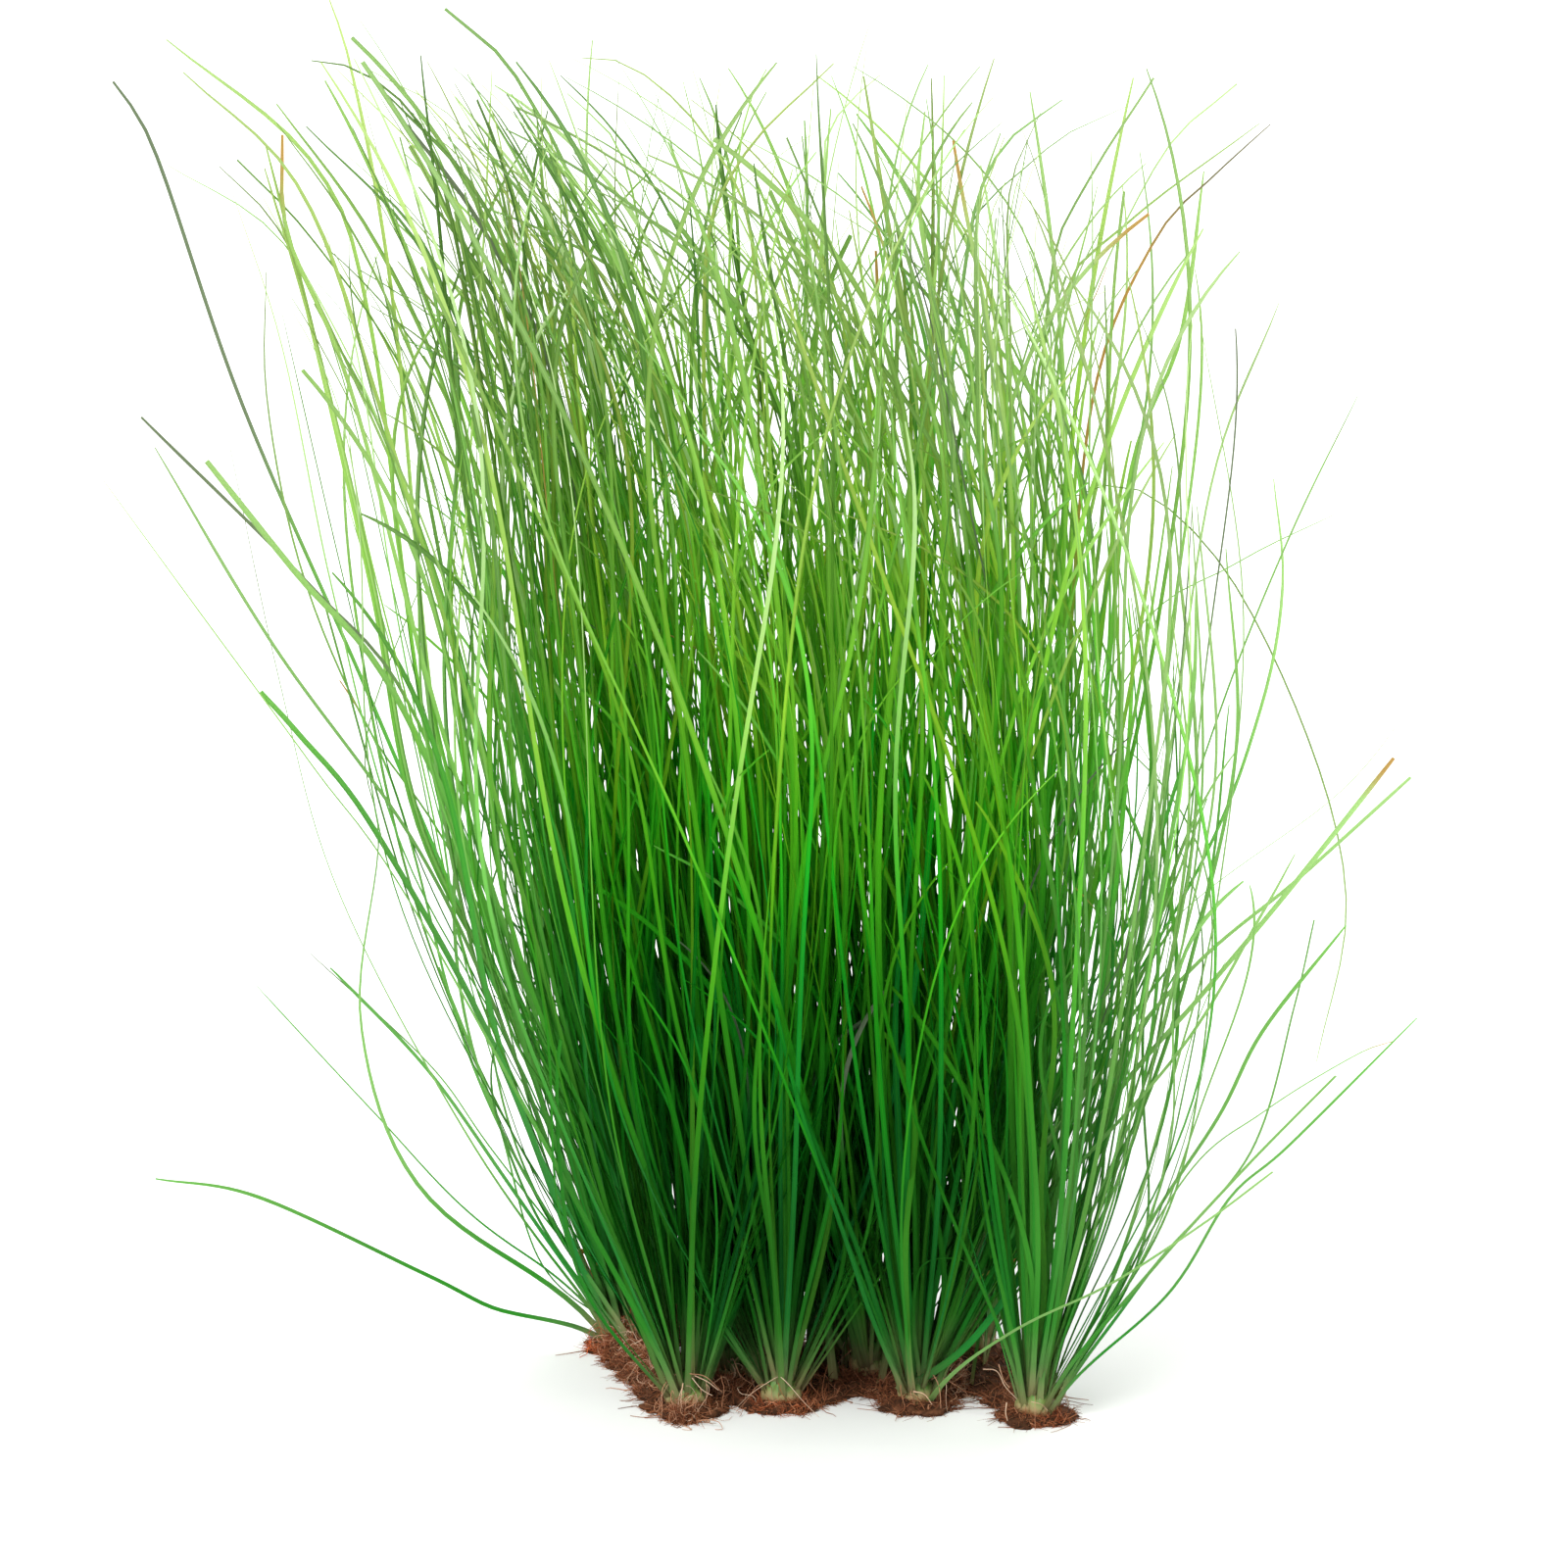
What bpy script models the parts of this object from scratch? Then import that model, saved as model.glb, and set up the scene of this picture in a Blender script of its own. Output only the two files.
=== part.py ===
"""Eriocaulon clump: grass-like leaves on pale crowns that share one mat of roots.

Metres, +Z up. The origin lies in the flat underside of the root mat, at the middle of
the clump. X runs along the clump from left to right, Y from its front to its back.
"""
import math

import bmesh
import bpy
import numpy as np
from mathutils import Matrix, Vector, noise

MM = 0.001
SEED = 20
GAP = 0.3 * MM

# Crowns: (x, y) of each, and the way its leaves lean as a slope along x and y
CROWNS = {
    1: ((-44.5, 26.0), (-0.24, 0.08)),
    2: ((-33.0, 39.0), (-0.15, 0.16)),
    3: ((-31.0, -21.0), (-0.12, -0.10)),
    4: ((-22.0, 1.0), (-0.08, 0.02)),
    5: ((-11.0, -18.0), (-0.02, -0.12)),
    6: ((1.0, 22.0), (0.00, 0.12)),
    7: ((8.0, 3.0), (0.02, 0.00)),
    8: ((18.0, -18.0), (0.04, -0.10)),
    9: ((31.0, 22.0), (0.12, 0.10)),
    10: ((43.0, -27.0), (0.12, -0.10)),
}
CROWN_RADIUS = 4.8 * MM
CROWN_BOTTOM = 1.0 * MM
CROWN_TOP = 7.9 * MM
SHEATH_BOTTOM = CROWN_TOP + GAP
SHEATH_TOP = 13.0 * MM
SHEATH_RADII = (4.0 * MM, 5.6 * MM)
SHEATH_SIDES = 10

# Root mat: one lump under each crown, and a row of lower ones towards each neighbour
LUMP_RADIUS = 9.0 * MM
LUMP_HEIGHT = 3.8 * MM
LINK_RADIUS = 8.6 * MM
LINK_HEIGHT = 3.4 * MM
LINK_SPACING = 13.5 * MM
LINKS = ((1, 2), (1, 3), (3, 4), (4, 5), (5, 7), (6, 7), (7, 8), (8, 9), (9, 10))

# Tuft leaves: how many grow from each crown, and their sizes
TUFT_LEAVES = 13
TUFT_RINGS = (0.0, 0.14, 0.32, 0.54, 0.78, 1.0)
LEAF_LENGTH = (0.266, 0.024)
LEAF_WIDTH = (1.55 * MM, 1.95 * MM)
LEAF_THICKNESS = 0.42
REACH = ((-0.148, -0.098, 0.0), (0.116, 0.092, 0.302))
TIP_WIDTH = 0.16
SPREAD = 0.60
LEAN_NOISE = 0.07
DRIFT_NOISE = 0.15
TIP_NOISE = 0.55
SWEEP = (-0.05, 0.0)
STEPS = 48

# Sides of the dense clump seen from the front: height, left and right in mm
CLUMP_SIDES = (
    (0, -54, 54), (30, -58, 64), (51, -68, 76), (92, -89, 87), (134, -101, 90),
    (175, -112, 92), (216, -118, 85), (258, -110, 80), (300, -106, 80),
)
CLUMP_DEPTH = 0.85

# Outer leaves: heights are given as they look from the front, at this angle from above
LOOK_DOWN = math.radians(14.0)
FRONT = 25.0 * MM
OUTER_RINGS = 7
OUTER_START = 8.0 * MM
OUTER_START_HEIGHT = 8.4 * MM
OUTER_WIDTH = 1.6 * MM

# crown, the fan of headings at the crown in degrees, then each leaf's guide points in mm
OUTER_LEAVES = (
    (1, (118, 240), (
        ((-73, 54), (-87, 73), (-113, 97)),
        ((-77, 40), (-99, 63), (-124, 90)),
        ((-70, 48), (-87, 72), (-105, 91), (-108, 94)),
        ((-88, 46), (-101, 82), (-97, 121), (-99, 146), (-79, 196)),
        ((-70, 20), (-87, 28), (-123, 45), (-145, 49)),
        ((-78, 58), (-105, 110), (-117, 154), (-129, 214)),
        ((-72, 77), (-98, 125), (-113, 144), (-121, 153)),
        ((-68, 76), (-88, 120), (-118, 163), (-142, 204)),
    )),
    (2, (110, 215), (
        ((-68, 80), (-102, 158), (-127, 216), (-145, 269), (-154, 284)),
        ((-79, 113), (-100, 146), (-114, 180), (-121, 216), (-121, 243)),
        ((-82, 121), (-98, 230), (-110, 265), (-141, 291)),
        ((-79, 113), (-93, 237), (-101, 283), (-106, 299)),
    )),
    (3, (150, 250), (
        ((-79, 134), (-101, 216), (-114, 248), (-115, 269)),
        ((-68, 121), (-93, 208), (-110, 256), (-134, 280)),
        ((-86, 105), (-108, 137), (-131, 169), (-151, 197)),
    )),
    (4, (140, 220), (
        ((-60, 71), (-88, 147), (-110, 175), (-146, 211)),
        ((-68, 100), (-93, 154), (-112, 177), (-131, 201)),
    )),
    (7, (20, 60), (
        ((23, 92), (39, 175), (58, 197), (81, 182), (101, 144), (110, 108), (104, 74)),
    )),
    (8, (-62, 62), (
        ((40, 20), (58, 29), (77, 42), (91, 53)),
        ((37, 36), (72, 77), (89, 106), (96, 119)),
        ((27, 18), (58, 66), (78, 90), (96, 112), (117, 139)),
        ((33, 40), (71, 90), (98, 114), (121, 135)),
        ((27, 32), (41, 65), (71, 104), (106, 131), (122, 150)),
        ((39, 51), (76, 113), (90, 148), (95, 175), (93, 198)),
        ((23, 51), (31, 100), (62, 163), (85, 180), (107, 191)),
    )),
    (9, (-50, 80), (
        ((48, 133), (54, 212), (67, 247), (80, 261), (91, 271)),
        ((44, 154), (48, 232), (61, 251), (90, 273)),
        ((54, 113), (63, 197), (74, 228), (79, 264)),
    )),
    (10, (-75, 75), (
        ((62, 26), (72, 38), (88, 56), (104, 73)),
        ((70, 26), (83, 47), (95, 58), (121, 85)),
        ((73, 50), (90, 65), (109, 77), (117, 80)),
        ((66, 40), (81, 64), (90, 82), (107, 104)),
        ((68, 32), (88, 56), (97, 87), (101, 105)),
        ((61, 34), (72, 73), (81, 110), (86, 171), (76, 234)),
        ((47, 30), (62, 88), (81, 148), (96, 186), (110, 215)),
        ((52, 40), (70, 134), (80, 198), (94, 235)),
    )),
)

# Guided leaves that stay in their tuft, with the heading of each at the crown in degrees
CROWN_LEAVES = (
    (2, 190, ((-82, 133), (-104, 220), (-117, 249), (-142, 265))),
    (3, 170, ((-60, 134), (-80, 254), (-95, 279), (-108, 283))),
    (3, 120, ((-43, 113), (-50, 237), (-65, 279), (-81, 295))),
    (4, 160, ((-50, 113), (-60, 237), (-76, 279), (-98, 294))),
    (4, 60, ((-33, 113), (-39, 227), (-44, 265), (-56, 279))),
    (5, 200, ((-12, 113), (-16, 237), (-25, 266), (-41, 282), (-52, 284))),
    (5, 120, ((-19, 133), (-22, 237), (-19, 278), (-14, 291))),
    (5, 20, ((-23, 133), (-27, 237), (-20, 265), (0, 286))),
    (6, 30, ((10, 134), (23, 237), (44, 267), (62, 277))),
    (7, 100, ((0, 134), (-2, 260), (1, 277), (10, 286))),
    (7, 20, ((17, 134), (27, 237), (34, 265), (48, 277))),
    (9, 60, ((41, 154), (46, 239), (53, 260), (68, 284))),
    (9, 10, ((43, 154), (48, 216), (68, 264), (85, 281))),
)

LEAF_COLOUR = (0.075, 0.29, 0.035, 1.0)
CROWN_COLOUR = (0.50, 0.56, 0.26, 1.0)
ROOT_COLOUR = (0.16, 0.055, 0.028, 1.0)


def clear_scene():
    for thing in list(bpy.data.objects):
        bpy.data.objects.remove(thing, do_unlink=True)


def new_collection(name):
    collection = bpy.data.collections.new(name)
    bpy.context.scene.collection.children.link(collection)
    return collection


def new_material(name, colour, roughness):
    material = bpy.data.materials.new(name)
    material.use_nodes = True
    material.diffuse_color = colour
    shader = material.node_tree.nodes["Principled BSDF"]
    shader.inputs["Base Color"].default_value = colour
    shader.inputs["Roughness"].default_value = roughness
    shader.inputs["Metallic"].default_value = 0.0
    return material


def new_object(name, data, collection, place, material=None, parent=None):
    thing = bpy.data.objects.new(name, data)
    collection.objects.link(thing)
    thing.location = place
    thing.parent = parent
    if material is not None:
        data.materials.append(material)
    return thing


def as_cutter(thing):
    thing.hide_render = True
    thing.display_type = "WIRE"
    return thing


def ease(t):
    t = np.clip(t, 0.0, 1.0)
    return t * t * (3.0 - 2.0 * t)


def crown_place(number):
    (x, y), _ = CROWNS[number]
    return np.array([x * MM, y * MM, 0.0])


# Paths of the leaves


def grown_path(start, length, lean, drift, tip, wave, phase):
    """A leaf that leaves its crown leaning, rights itself and bends over at its tip."""
    t = (np.arange(STEPS) + 0.5) / STEPS
    fade = 0.25 + 0.75 * (1.0 - ease(t / 0.65))
    slope = np.outer(fade, lean) + np.outer(ease((t - 0.15) / 0.7), drift)
    slope += np.outer(np.clip((t - 0.6) / 0.4, 0.0, 1.0) ** 2, tip)
    ripple = np.sin(2.0 * math.pi * t[:, None] * 1.6 + phase) * ease(t / 0.3)[:, None]
    slope += ripple * wave
    heading = np.column_stack([slope, np.ones(STEPS)])
    heading /= np.linalg.norm(heading, axis=1)[:, None]
    steps = np.cumsum(heading * length / STEPS, axis=0)
    return start + np.vstack([np.zeros(3), steps])


def guided_path(start, points, depth):
    """A smooth leaf through guide points seen from the front, ending at a given depth."""
    flat = np.array([(x * MM, v * MM) for x, v in points])
    seen_start = start[2] * math.cos(LOOK_DOWN) + (start[1] + FRONT) * math.sin(LOOK_DOWN)
    flat = np.vstack([(start[0], seen_start), flat])
    run = np.concatenate([[0.0], np.cumsum(np.linalg.norm(np.diff(flat, axis=0), axis=1))])
    run /= run[-1]
    y = start[1] + (depth - start[1]) * run ** 1.15
    z = (flat[:, 1] - (y + FRONT) * math.sin(LOOK_DOWN)) / math.cos(LOOK_DOWN)
    knots = np.column_stack([flat[:, 0], y, z])
    first = 2.0 * knots[0] - knots[1]
    last = 2.0 * knots[-1] - knots[-2]
    knots = np.vstack([first, knots, last])
    curve = []
    for i in range(1, len(knots) - 2):
        for u in np.linspace(0.0, 1.0, 16, endpoint=False):
            curve.append(0.5 * (2.0 * knots[i] + (knots[i + 1] - knots[i - 1]) * u
                                + (2.0 * knots[i - 1] - 5.0 * knots[i] + 4.0 * knots[i + 1]
                                   - knots[i + 2]) * u ** 2
                                + (3.0 * knots[i] - knots[i - 1] - 3.0 * knots[i + 1]
                                   + knots[i + 2]) * u ** 3))
    curve.append(knots[-2])
    curve = np.array(curve)
    return at_fractions(curve, np.linspace(0.0, 1.0, STEPS + 1))


def at_fractions(path, fractions):
    lengths = np.linalg.norm(np.diff(path, axis=0), axis=1)
    run = np.concatenate([[0.0], np.cumsum(lengths)])
    want = np.asarray(fractions) * run[-1]
    return np.column_stack([np.interp(want, run, path[:, i]) for i in range(3)])


def half_widths(fractions, width):
    t = np.asarray(fractions)
    taper = TIP_WIDTH + (1.0 - TIP_WIDTH) * (1.0 - t) ** 0.5
    return 0.5 * width * taper


# Room between the leaves


def segment_gaps(starts_a, ends_a, starts_b, ends_b):
    """Shortest distance between every segment of one set and every one of another."""
    p1 = starts_a[:, None, :]
    p2 = starts_b[None, :, :]
    d1 = (ends_a - starts_a)[:, None, :]
    d2 = (ends_b - starts_b)[None, :, :]
    r = p1 - p2
    a = np.sum(d1 * d1, axis=2)
    e = np.sum(d2 * d2, axis=2)
    b = np.sum(d1 * d2, axis=2)
    c = np.sum(d1 * r, axis=2)
    f = np.sum(d2 * r, axis=2)
    spread = np.maximum(a * e - b * b, 1e-18)
    s = np.clip((b * f - c * e) / spread, 0.0, 1.0)
    t = (b * s + f) / e
    s = np.where(t < 0.0, np.clip(-c / a, 0.0, 1.0), s)
    s = np.where(t > 1.0, np.clip((b - c) / a, 0.0, 1.0), s)
    t = np.clip(t, 0.0, 1.0)
    apart = r + d1 * s[..., None] - d2 * t[..., None]
    return np.linalg.norm(apart, axis=2)


class Room:
    """The leaves placed so far, as segments with a radius and the tuft they belong to."""

    def __init__(self):
        self.starts = np.zeros((0, 3))
        self.ends = np.zeros((0, 3))
        self.radii = np.zeros(0)
        self.owners = np.zeros(0, dtype=int)
        self.feet = np.zeros(0, dtype=bool)

    def add(self, points, radii, owner):
        self.starts = np.vstack([self.starts, points[:-1]])
        self.ends = np.vstack([self.ends, points[1:]])
        self.radii = np.concatenate([self.radii, np.maximum(radii[:-1], radii[1:])])
        self.owners = np.concatenate([self.owners, np.full(len(points) - 1, owner)])
        self.feet = np.concatenate([self.feet, np.arange(len(points) - 1) == 0])

    def free(self, points, radii, owner):
        """Whether a leaf keeps clear of all others, and above the roots."""
        widest = np.maximum(radii[:-1], radii[1:])
        gaps = segment_gaps(points[:-1], points[1:], self.starts, self.ends)
        gaps = gaps - widest[:, None] - self.radii[None, :]
        own = self.owners == owner
        need = np.tile(np.where(own, 0.1 * MM, GAP + 0.1 * MM), (len(points) - 1, 1))
        need[:, own & (self.radii > 3.0 * MM)] = -1.0
        need[0, own & self.feet] = -1.0
        low = points[1:, 2].min() < 7.2 * MM
        return bool(np.all(gaps > need)) and not low


def within_clump(points):
    """Whether a leaf stays between the sides of the clump and inside its reach."""
    seen = points[:, 2] * math.cos(LOOK_DOWN) + (points[:, 1] + FRONT) * math.sin(LOOK_DOWN)
    heights, left, right = np.array(CLUMP_SIDES).T * MM
    low = np.interp(seen, heights, left)
    high = np.interp(seen, heights, right)
    across = np.all(points[:, 0] > low) and np.all(points[:, 0] < high)
    deep = np.all(points[:, 1] > CLUMP_DEPTH * low) and np.all(points[:, 1] < CLUMP_DEPTH * high)
    reach = np.all(points > REACH[0]) and np.all(points < REACH[1])
    return bool(across and deep and reach)


def sheath_posts(room):
    """Each crown and its sheath keep the other leaves out, as one upright post."""
    for number in CROWNS:
        place = crown_place(number)
        post = np.array([place + (0, 0, 3 * MM), place + (0, 0, SHEATH_TOP)])
        room.add(post, np.full(2, SHEATH_RADII[1] + 0.2 * MM), number)


def outer_leaves(room, rng):
    """The leaves that stand out from the clump, each a piece of its own."""
    made = []
    fractions = np.linspace(0.0, 1.0, OUTER_RINGS)
    for number, fan, leaves in OUTER_LEAVES:
        place = crown_place(number)
        for i, points in enumerate(leaves):
            share = i / max(len(leaves) - 1, 1)
            for attempt in range(400):
                loose = min(attempt, 60) / 60.0
                turn = math.radians(fan[0] + (fan[1] - fan[0]) * share + rng.normal(0, 3 + 6 * loose))
                side = np.array([math.cos(turn), math.sin(turn), 0.0])
                start = place + OUTER_START * side + (0, 0, OUTER_START_HEIGHT)
                reach = len(points) * 9.0 * MM + rng.normal(0, (4 + 22 * loose) * MM)
                depth = place[1] + side[1] * reach + rng.normal(0, (2 + 10 * loose) * MM)
                path = guided_path(start, points, depth)
                rings = at_fractions(path, fractions)
                radii = half_widths(fractions, OUTER_WIDTH)
                if room.free(rings, radii, 100 + len(made)):
                    break
            else:
                raise RuntimeError(f"no room for outer leaf {i} of crown {number}")
            room.add(rings, radii, 100 + len(made))
            made.append((number, path, rings, radii))
    return made


def crown_leaves(room, rng):
    """Guided leaves that grow out of a tuft's sheath."""
    made = []
    for number, heading, points in CROWN_LEAVES:
        place = crown_place(number)
        for attempt in range(400):
            loose = min(attempt, 60) / 60.0
            turn = math.radians(heading + rng.normal(0, 5 + 40 * loose))
            side = np.array([math.cos(turn), math.sin(turn), 0.0])
            start = place + 3.4 * MM * side + (0, 0, SHEATH_BOTTOM + 1.2 * MM)
            depth = place[1] + side[1] * 30.0 * MM + rng.normal(0, (3 + 20 * loose) * MM)
            path = guided_path(start, points, depth)
            rings = at_fractions(path, TUFT_RINGS)
            radii = half_widths(TUFT_RINGS, LEAF_WIDTH[0])
            if room.free(rings, radii, number):
                break
        else:
            raise RuntimeError(f"no room for a guided leaf of crown {number}")
        room.add(rings, radii, number)
        made.append((number, path, rings, radii))
    return made


def tuft_leaves(room, rng):
    """The leaves of every tuft, in a golden-angle spiral that leans out from its middle."""
    made = []
    for number, (_, bias) in CROWNS.items():
        place = crown_place(number)
        for i in range(TUFT_LEAVES):
            out = math.sqrt((i + 0.6) / TUFT_LEAVES)
            for attempt in range(600):
                loose = min(attempt, 200) / 200.0
                turn = math.radians(137.5 * i + 40.0 * number + rng.normal(0, 8 + 70 * loose))
                side = np.array([math.cos(turn), math.sin(turn)])
                start = place + np.array([*(3.9 * MM * out * side), SHEATH_BOTTOM + 1.2 * MM])
                lean = SPREAD * out * side + np.array(bias) + rng.normal(0, LEAN_NOISE + 0.1 * loose, 2)
                drift = np.array(SWEEP) + rng.normal(0, DRIFT_NOISE, 2)
                tip = rng.normal(0, TIP_NOISE, 2) + 4.0 * place[:2] + np.array([-0.12, 0.0])
                wave = rng.normal(0, 0.035, 2)
                phase = rng.uniform(0, 2.0 * math.pi, 2)
                length = LEAF_LENGTH[0] + rng.normal(0, LEAF_LENGTH[1])
                length *= 0.62 if rng.random() < 0.1 else 1.0
                width = rng.uniform(*LEAF_WIDTH)
                path = grown_path(start, length, lean, drift, tip, wave, phase)
                rings = at_fractions(path, TUFT_RINGS)
                radii = half_widths(TUFT_RINGS, width)
                if within_clump(path) and room.free(rings, radii, number):
                    break
            else:
                raise RuntimeError(f"no room for leaf {i} of crown {number}")
            room.add(rings, radii, number)
            made.append((number, path, rings, radii))
    return made


# Shapes


def blade_profile(guides):
    """The leaf's cross-section: a low keeled triangle, one unit to each side."""
    data = bpy.data.curves.new("blade_profile", "CURVE")
    data.dimensions = "2D"
    data.fill_mode = "NONE"
    spline = data.splines.new("POLY")
    spline.points.add(2)
    corners = ((-1.0, LEAF_THICKNESS * 0.4), (0.0, -LEAF_THICKNESS * 0.6), (1.0, LEAF_THICKNESS * 0.4))
    for point, (x, y) in zip(spline.points, corners):
        point.co = (x, y, 0.0, 1.0)
    spline.use_cyclic_u = True
    return as_cutter(new_object("blade_profile", data, guides, (0, 0, 0)))


def blades_mesh(name, leaves, origin, profile, collection):
    """Blades swept along their paths, as one mesh with its caps welded on."""
    data = bpy.data.curves.new(name, "CURVE")
    data.dimensions = "3D"
    data.resolution_u = 1
    data.render_resolution_u = 0
    data.bevel_mode = "OBJECT"
    data.bevel_object = profile
    data.use_fill_caps = True
    for _, _, rings, radii in leaves:
        spline = data.splines.new("POLY")
        spline.points.add(len(rings) - 1)
        for point, co, radius in zip(spline.points, rings, radii):
            point.co = (*(co - origin), 1.0)
            point.radius = radius
    swept = new_object(name + "_swept", data, collection, origin)
    graph = bpy.context.evaluated_depsgraph_get()
    mesh = bpy.data.meshes.new_from_object(swept.evaluated_get(graph))
    mesh.name = name
    bpy.data.objects.remove(swept, do_unlink=True)
    bpy.data.curves.remove(data)
    bm = bmesh.new()
    bm.from_mesh(mesh)
    bmesh.ops.remove_doubles(bm, verts=bm.verts, dist=0.00001)
    bmesh.ops.recalc_face_normals(bm, faces=bm.faces)
    bm.to_mesh(mesh)
    bm.free()
    mesh.materials.clear()
    return mesh


def sheath_mesh(name):
    """The folded leaf bases just above the crown, as a short flared cone."""
    bm = bmesh.new()
    height = SHEATH_TOP - SHEATH_BOTTOM
    bmesh.ops.create_cone(bm, cap_ends=True, segments=SHEATH_SIDES, radius1=SHEATH_RADII[0],
                          radius2=SHEATH_RADII[1], depth=height,
                          matrix=Matrix.Translation((0, 0, SHEATH_BOTTOM + height / 2)))
    mesh = bpy.data.meshes.new(name)
    bm.to_mesh(mesh)
    bm.free()
    return mesh


def crown_mesh(name, grow=0.0):
    """The swollen foot of a tuft, a turned bulb; grow makes it larger all round."""
    middle = 0.5 * (CROWN_BOTTOM + CROWN_TOP)
    half = 0.5 * (CROWN_TOP - CROWN_BOTTOM) + grow
    bm = bmesh.new()
    bmesh.ops.create_uvsphere(bm, u_segments=10, v_segments=5, radius=1.0)
    for vert in bm.verts:
        belly = 1.0 - 0.12 * vert.co.z
        vert.co = Vector((vert.co.x * (CROWN_RADIUS + grow) * belly,
                          vert.co.y * (CROWN_RADIUS + grow) * belly,
                          middle + vert.co.z * half))
    mesh = bpy.data.meshes.new(name)
    bm.to_mesh(mesh)
    bm.free()
    return mesh


def root_lumps():
    """The centre, radius and height of every lump of the root mat."""
    lumps = [(crown_place(number), LUMP_RADIUS, LUMP_HEIGHT) for number in CROWNS]
    for one, other in LINKS:
        start, end = crown_place(one), crown_place(other)
        spans = math.ceil(np.linalg.norm(end - start) / LINK_SPACING)
        for i in range(1, spans):
            lumps.append((start + (end - start) * i / spans, LINK_RADIUS, LINK_HEIGHT))
    return lumps


def lump(bm, centre, radius, height):
    """One knotted lump of roots, half under the surface that the clump stands on."""
    fineness = 2 if radius > LINK_RADIUS else 1
    made = bmesh.ops.create_icosphere(bm, subdivisions=fineness, radius=1.0)
    for vert in made["verts"]:
        knot = 1.0 + 0.26 * noise.noise(vert.co * 1.7 + Vector(centre) / (9.0 * MM))
        vert.co = Vector((centre[0] + vert.co.x * radius * knot,
                          centre[1] + vert.co.y * radius * knot,
                          vert.co.z * height * min(knot, 1.04)))


def root_mat(parts, guides, material, parent):
    bm = bmesh.new()
    for centre, radius, height in root_lumps():
        lump(bm, centre, radius, height)
    mesh = bpy.data.meshes.new("root_mat")
    bm.to_mesh(mesh)
    bm.free()
    mat = new_object("root_mat", mesh, parts, (0, 0, 0), material, parent)

    bm = bmesh.new()
    bmesh.ops.create_cube(bm, size=1.0, matrix=Matrix.Diagonal((0.3, 0.3, 0.04, 1.0)))
    below = bpy.data.meshes.new("below_cut")
    bm.to_mesh(below)
    bm.free()
    below_cut = as_cutter(new_object("below_cut", below, guides, (0, 0, -0.02)))
    flat = mat.modifiers.new("flat underside", "BOOLEAN")
    flat.operation = "DIFFERENCE"
    flat.use_self = True
    flat.object = below_cut
    for number in CROWNS:
        seat = new_object(f"seat_{number}", crown_mesh(f"seat_{number}", GAP + 0.1 * MM), guides,
                          crown_place(number))
        cut = mat.modifiers.new(f"seat {number}", "BOOLEAN")
        cut.operation = "DIFFERENCE"
        cut.object = as_cutter(seat)
    return mat


def build():
    clear_scene()
    parts = new_collection("eriocaulon_clump")
    guides = new_collection("guides")
    leaf_material = new_material("leaf", LEAF_COLOUR, 0.5)
    crown_material = new_material("crown", CROWN_COLOUR, 0.5)
    root_material = new_material("root", ROOT_COLOUR, 0.8)
    clump = bpy.data.objects.new("clump_origin", None)
    parts.objects.link(clump)

    rng = np.random.default_rng(SEED)
    room = Room()
    sheath_posts(room)
    outer = outer_leaves(room, rng)
    guided = crown_leaves(room, rng)
    tufts = tuft_leaves(room, rng)

    root_mat(parts, guides, root_material, clump)
    profile = blade_profile(guides)
    for number in CROWNS:
        place = crown_place(number)
        new_object(f"crown_{number}", crown_mesh(f"crown_{number}"), parts, place,
                   crown_material, clump)
        name = f"leaf_tuft_{number}"
        own = [leaf for leaf in guided + tufts if leaf[0] == number]
        blades = blades_mesh(f"blades_{number}", own, place, profile, guides)
        blades = as_cutter(new_object(f"blades_{number}", blades, guides, place))
        tuft = new_object(name, sheath_mesh(name), parts, place, leaf_material, clump)
        join = tuft.modifiers.new("blades", "BOOLEAN")
        join.operation = "UNION"
        join.use_self = True
        join.object = blades
    for i, leaf in enumerate(outer):
        name = f"leaf_{i + 1:02d}"
        place = leaf[2][0]
        mesh = blades_mesh(name, [leaf], place, profile, guides)
        new_object(name, mesh, parts, place, leaf_material, clump)


build()
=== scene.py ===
"""Looks of the eriocaulon clump: leaf blades, crowns, root fibres, light and camera."""
import math

import bmesh
import bpy
import numpy as np
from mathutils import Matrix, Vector, noise


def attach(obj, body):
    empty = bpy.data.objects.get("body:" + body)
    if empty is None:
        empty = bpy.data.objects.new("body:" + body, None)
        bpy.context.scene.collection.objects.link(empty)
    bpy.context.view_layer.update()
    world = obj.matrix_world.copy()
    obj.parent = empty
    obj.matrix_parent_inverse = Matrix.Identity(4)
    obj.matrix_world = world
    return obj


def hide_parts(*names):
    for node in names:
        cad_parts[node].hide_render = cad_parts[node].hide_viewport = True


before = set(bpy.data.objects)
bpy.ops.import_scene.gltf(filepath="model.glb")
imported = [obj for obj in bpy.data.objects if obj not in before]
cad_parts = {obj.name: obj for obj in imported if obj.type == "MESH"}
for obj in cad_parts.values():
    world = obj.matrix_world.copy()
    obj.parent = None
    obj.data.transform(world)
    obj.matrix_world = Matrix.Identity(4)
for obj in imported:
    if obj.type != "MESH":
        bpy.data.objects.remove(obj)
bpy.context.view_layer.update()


MM = 0.001
SEED = 20
GAP = 0.3 * MM

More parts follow.
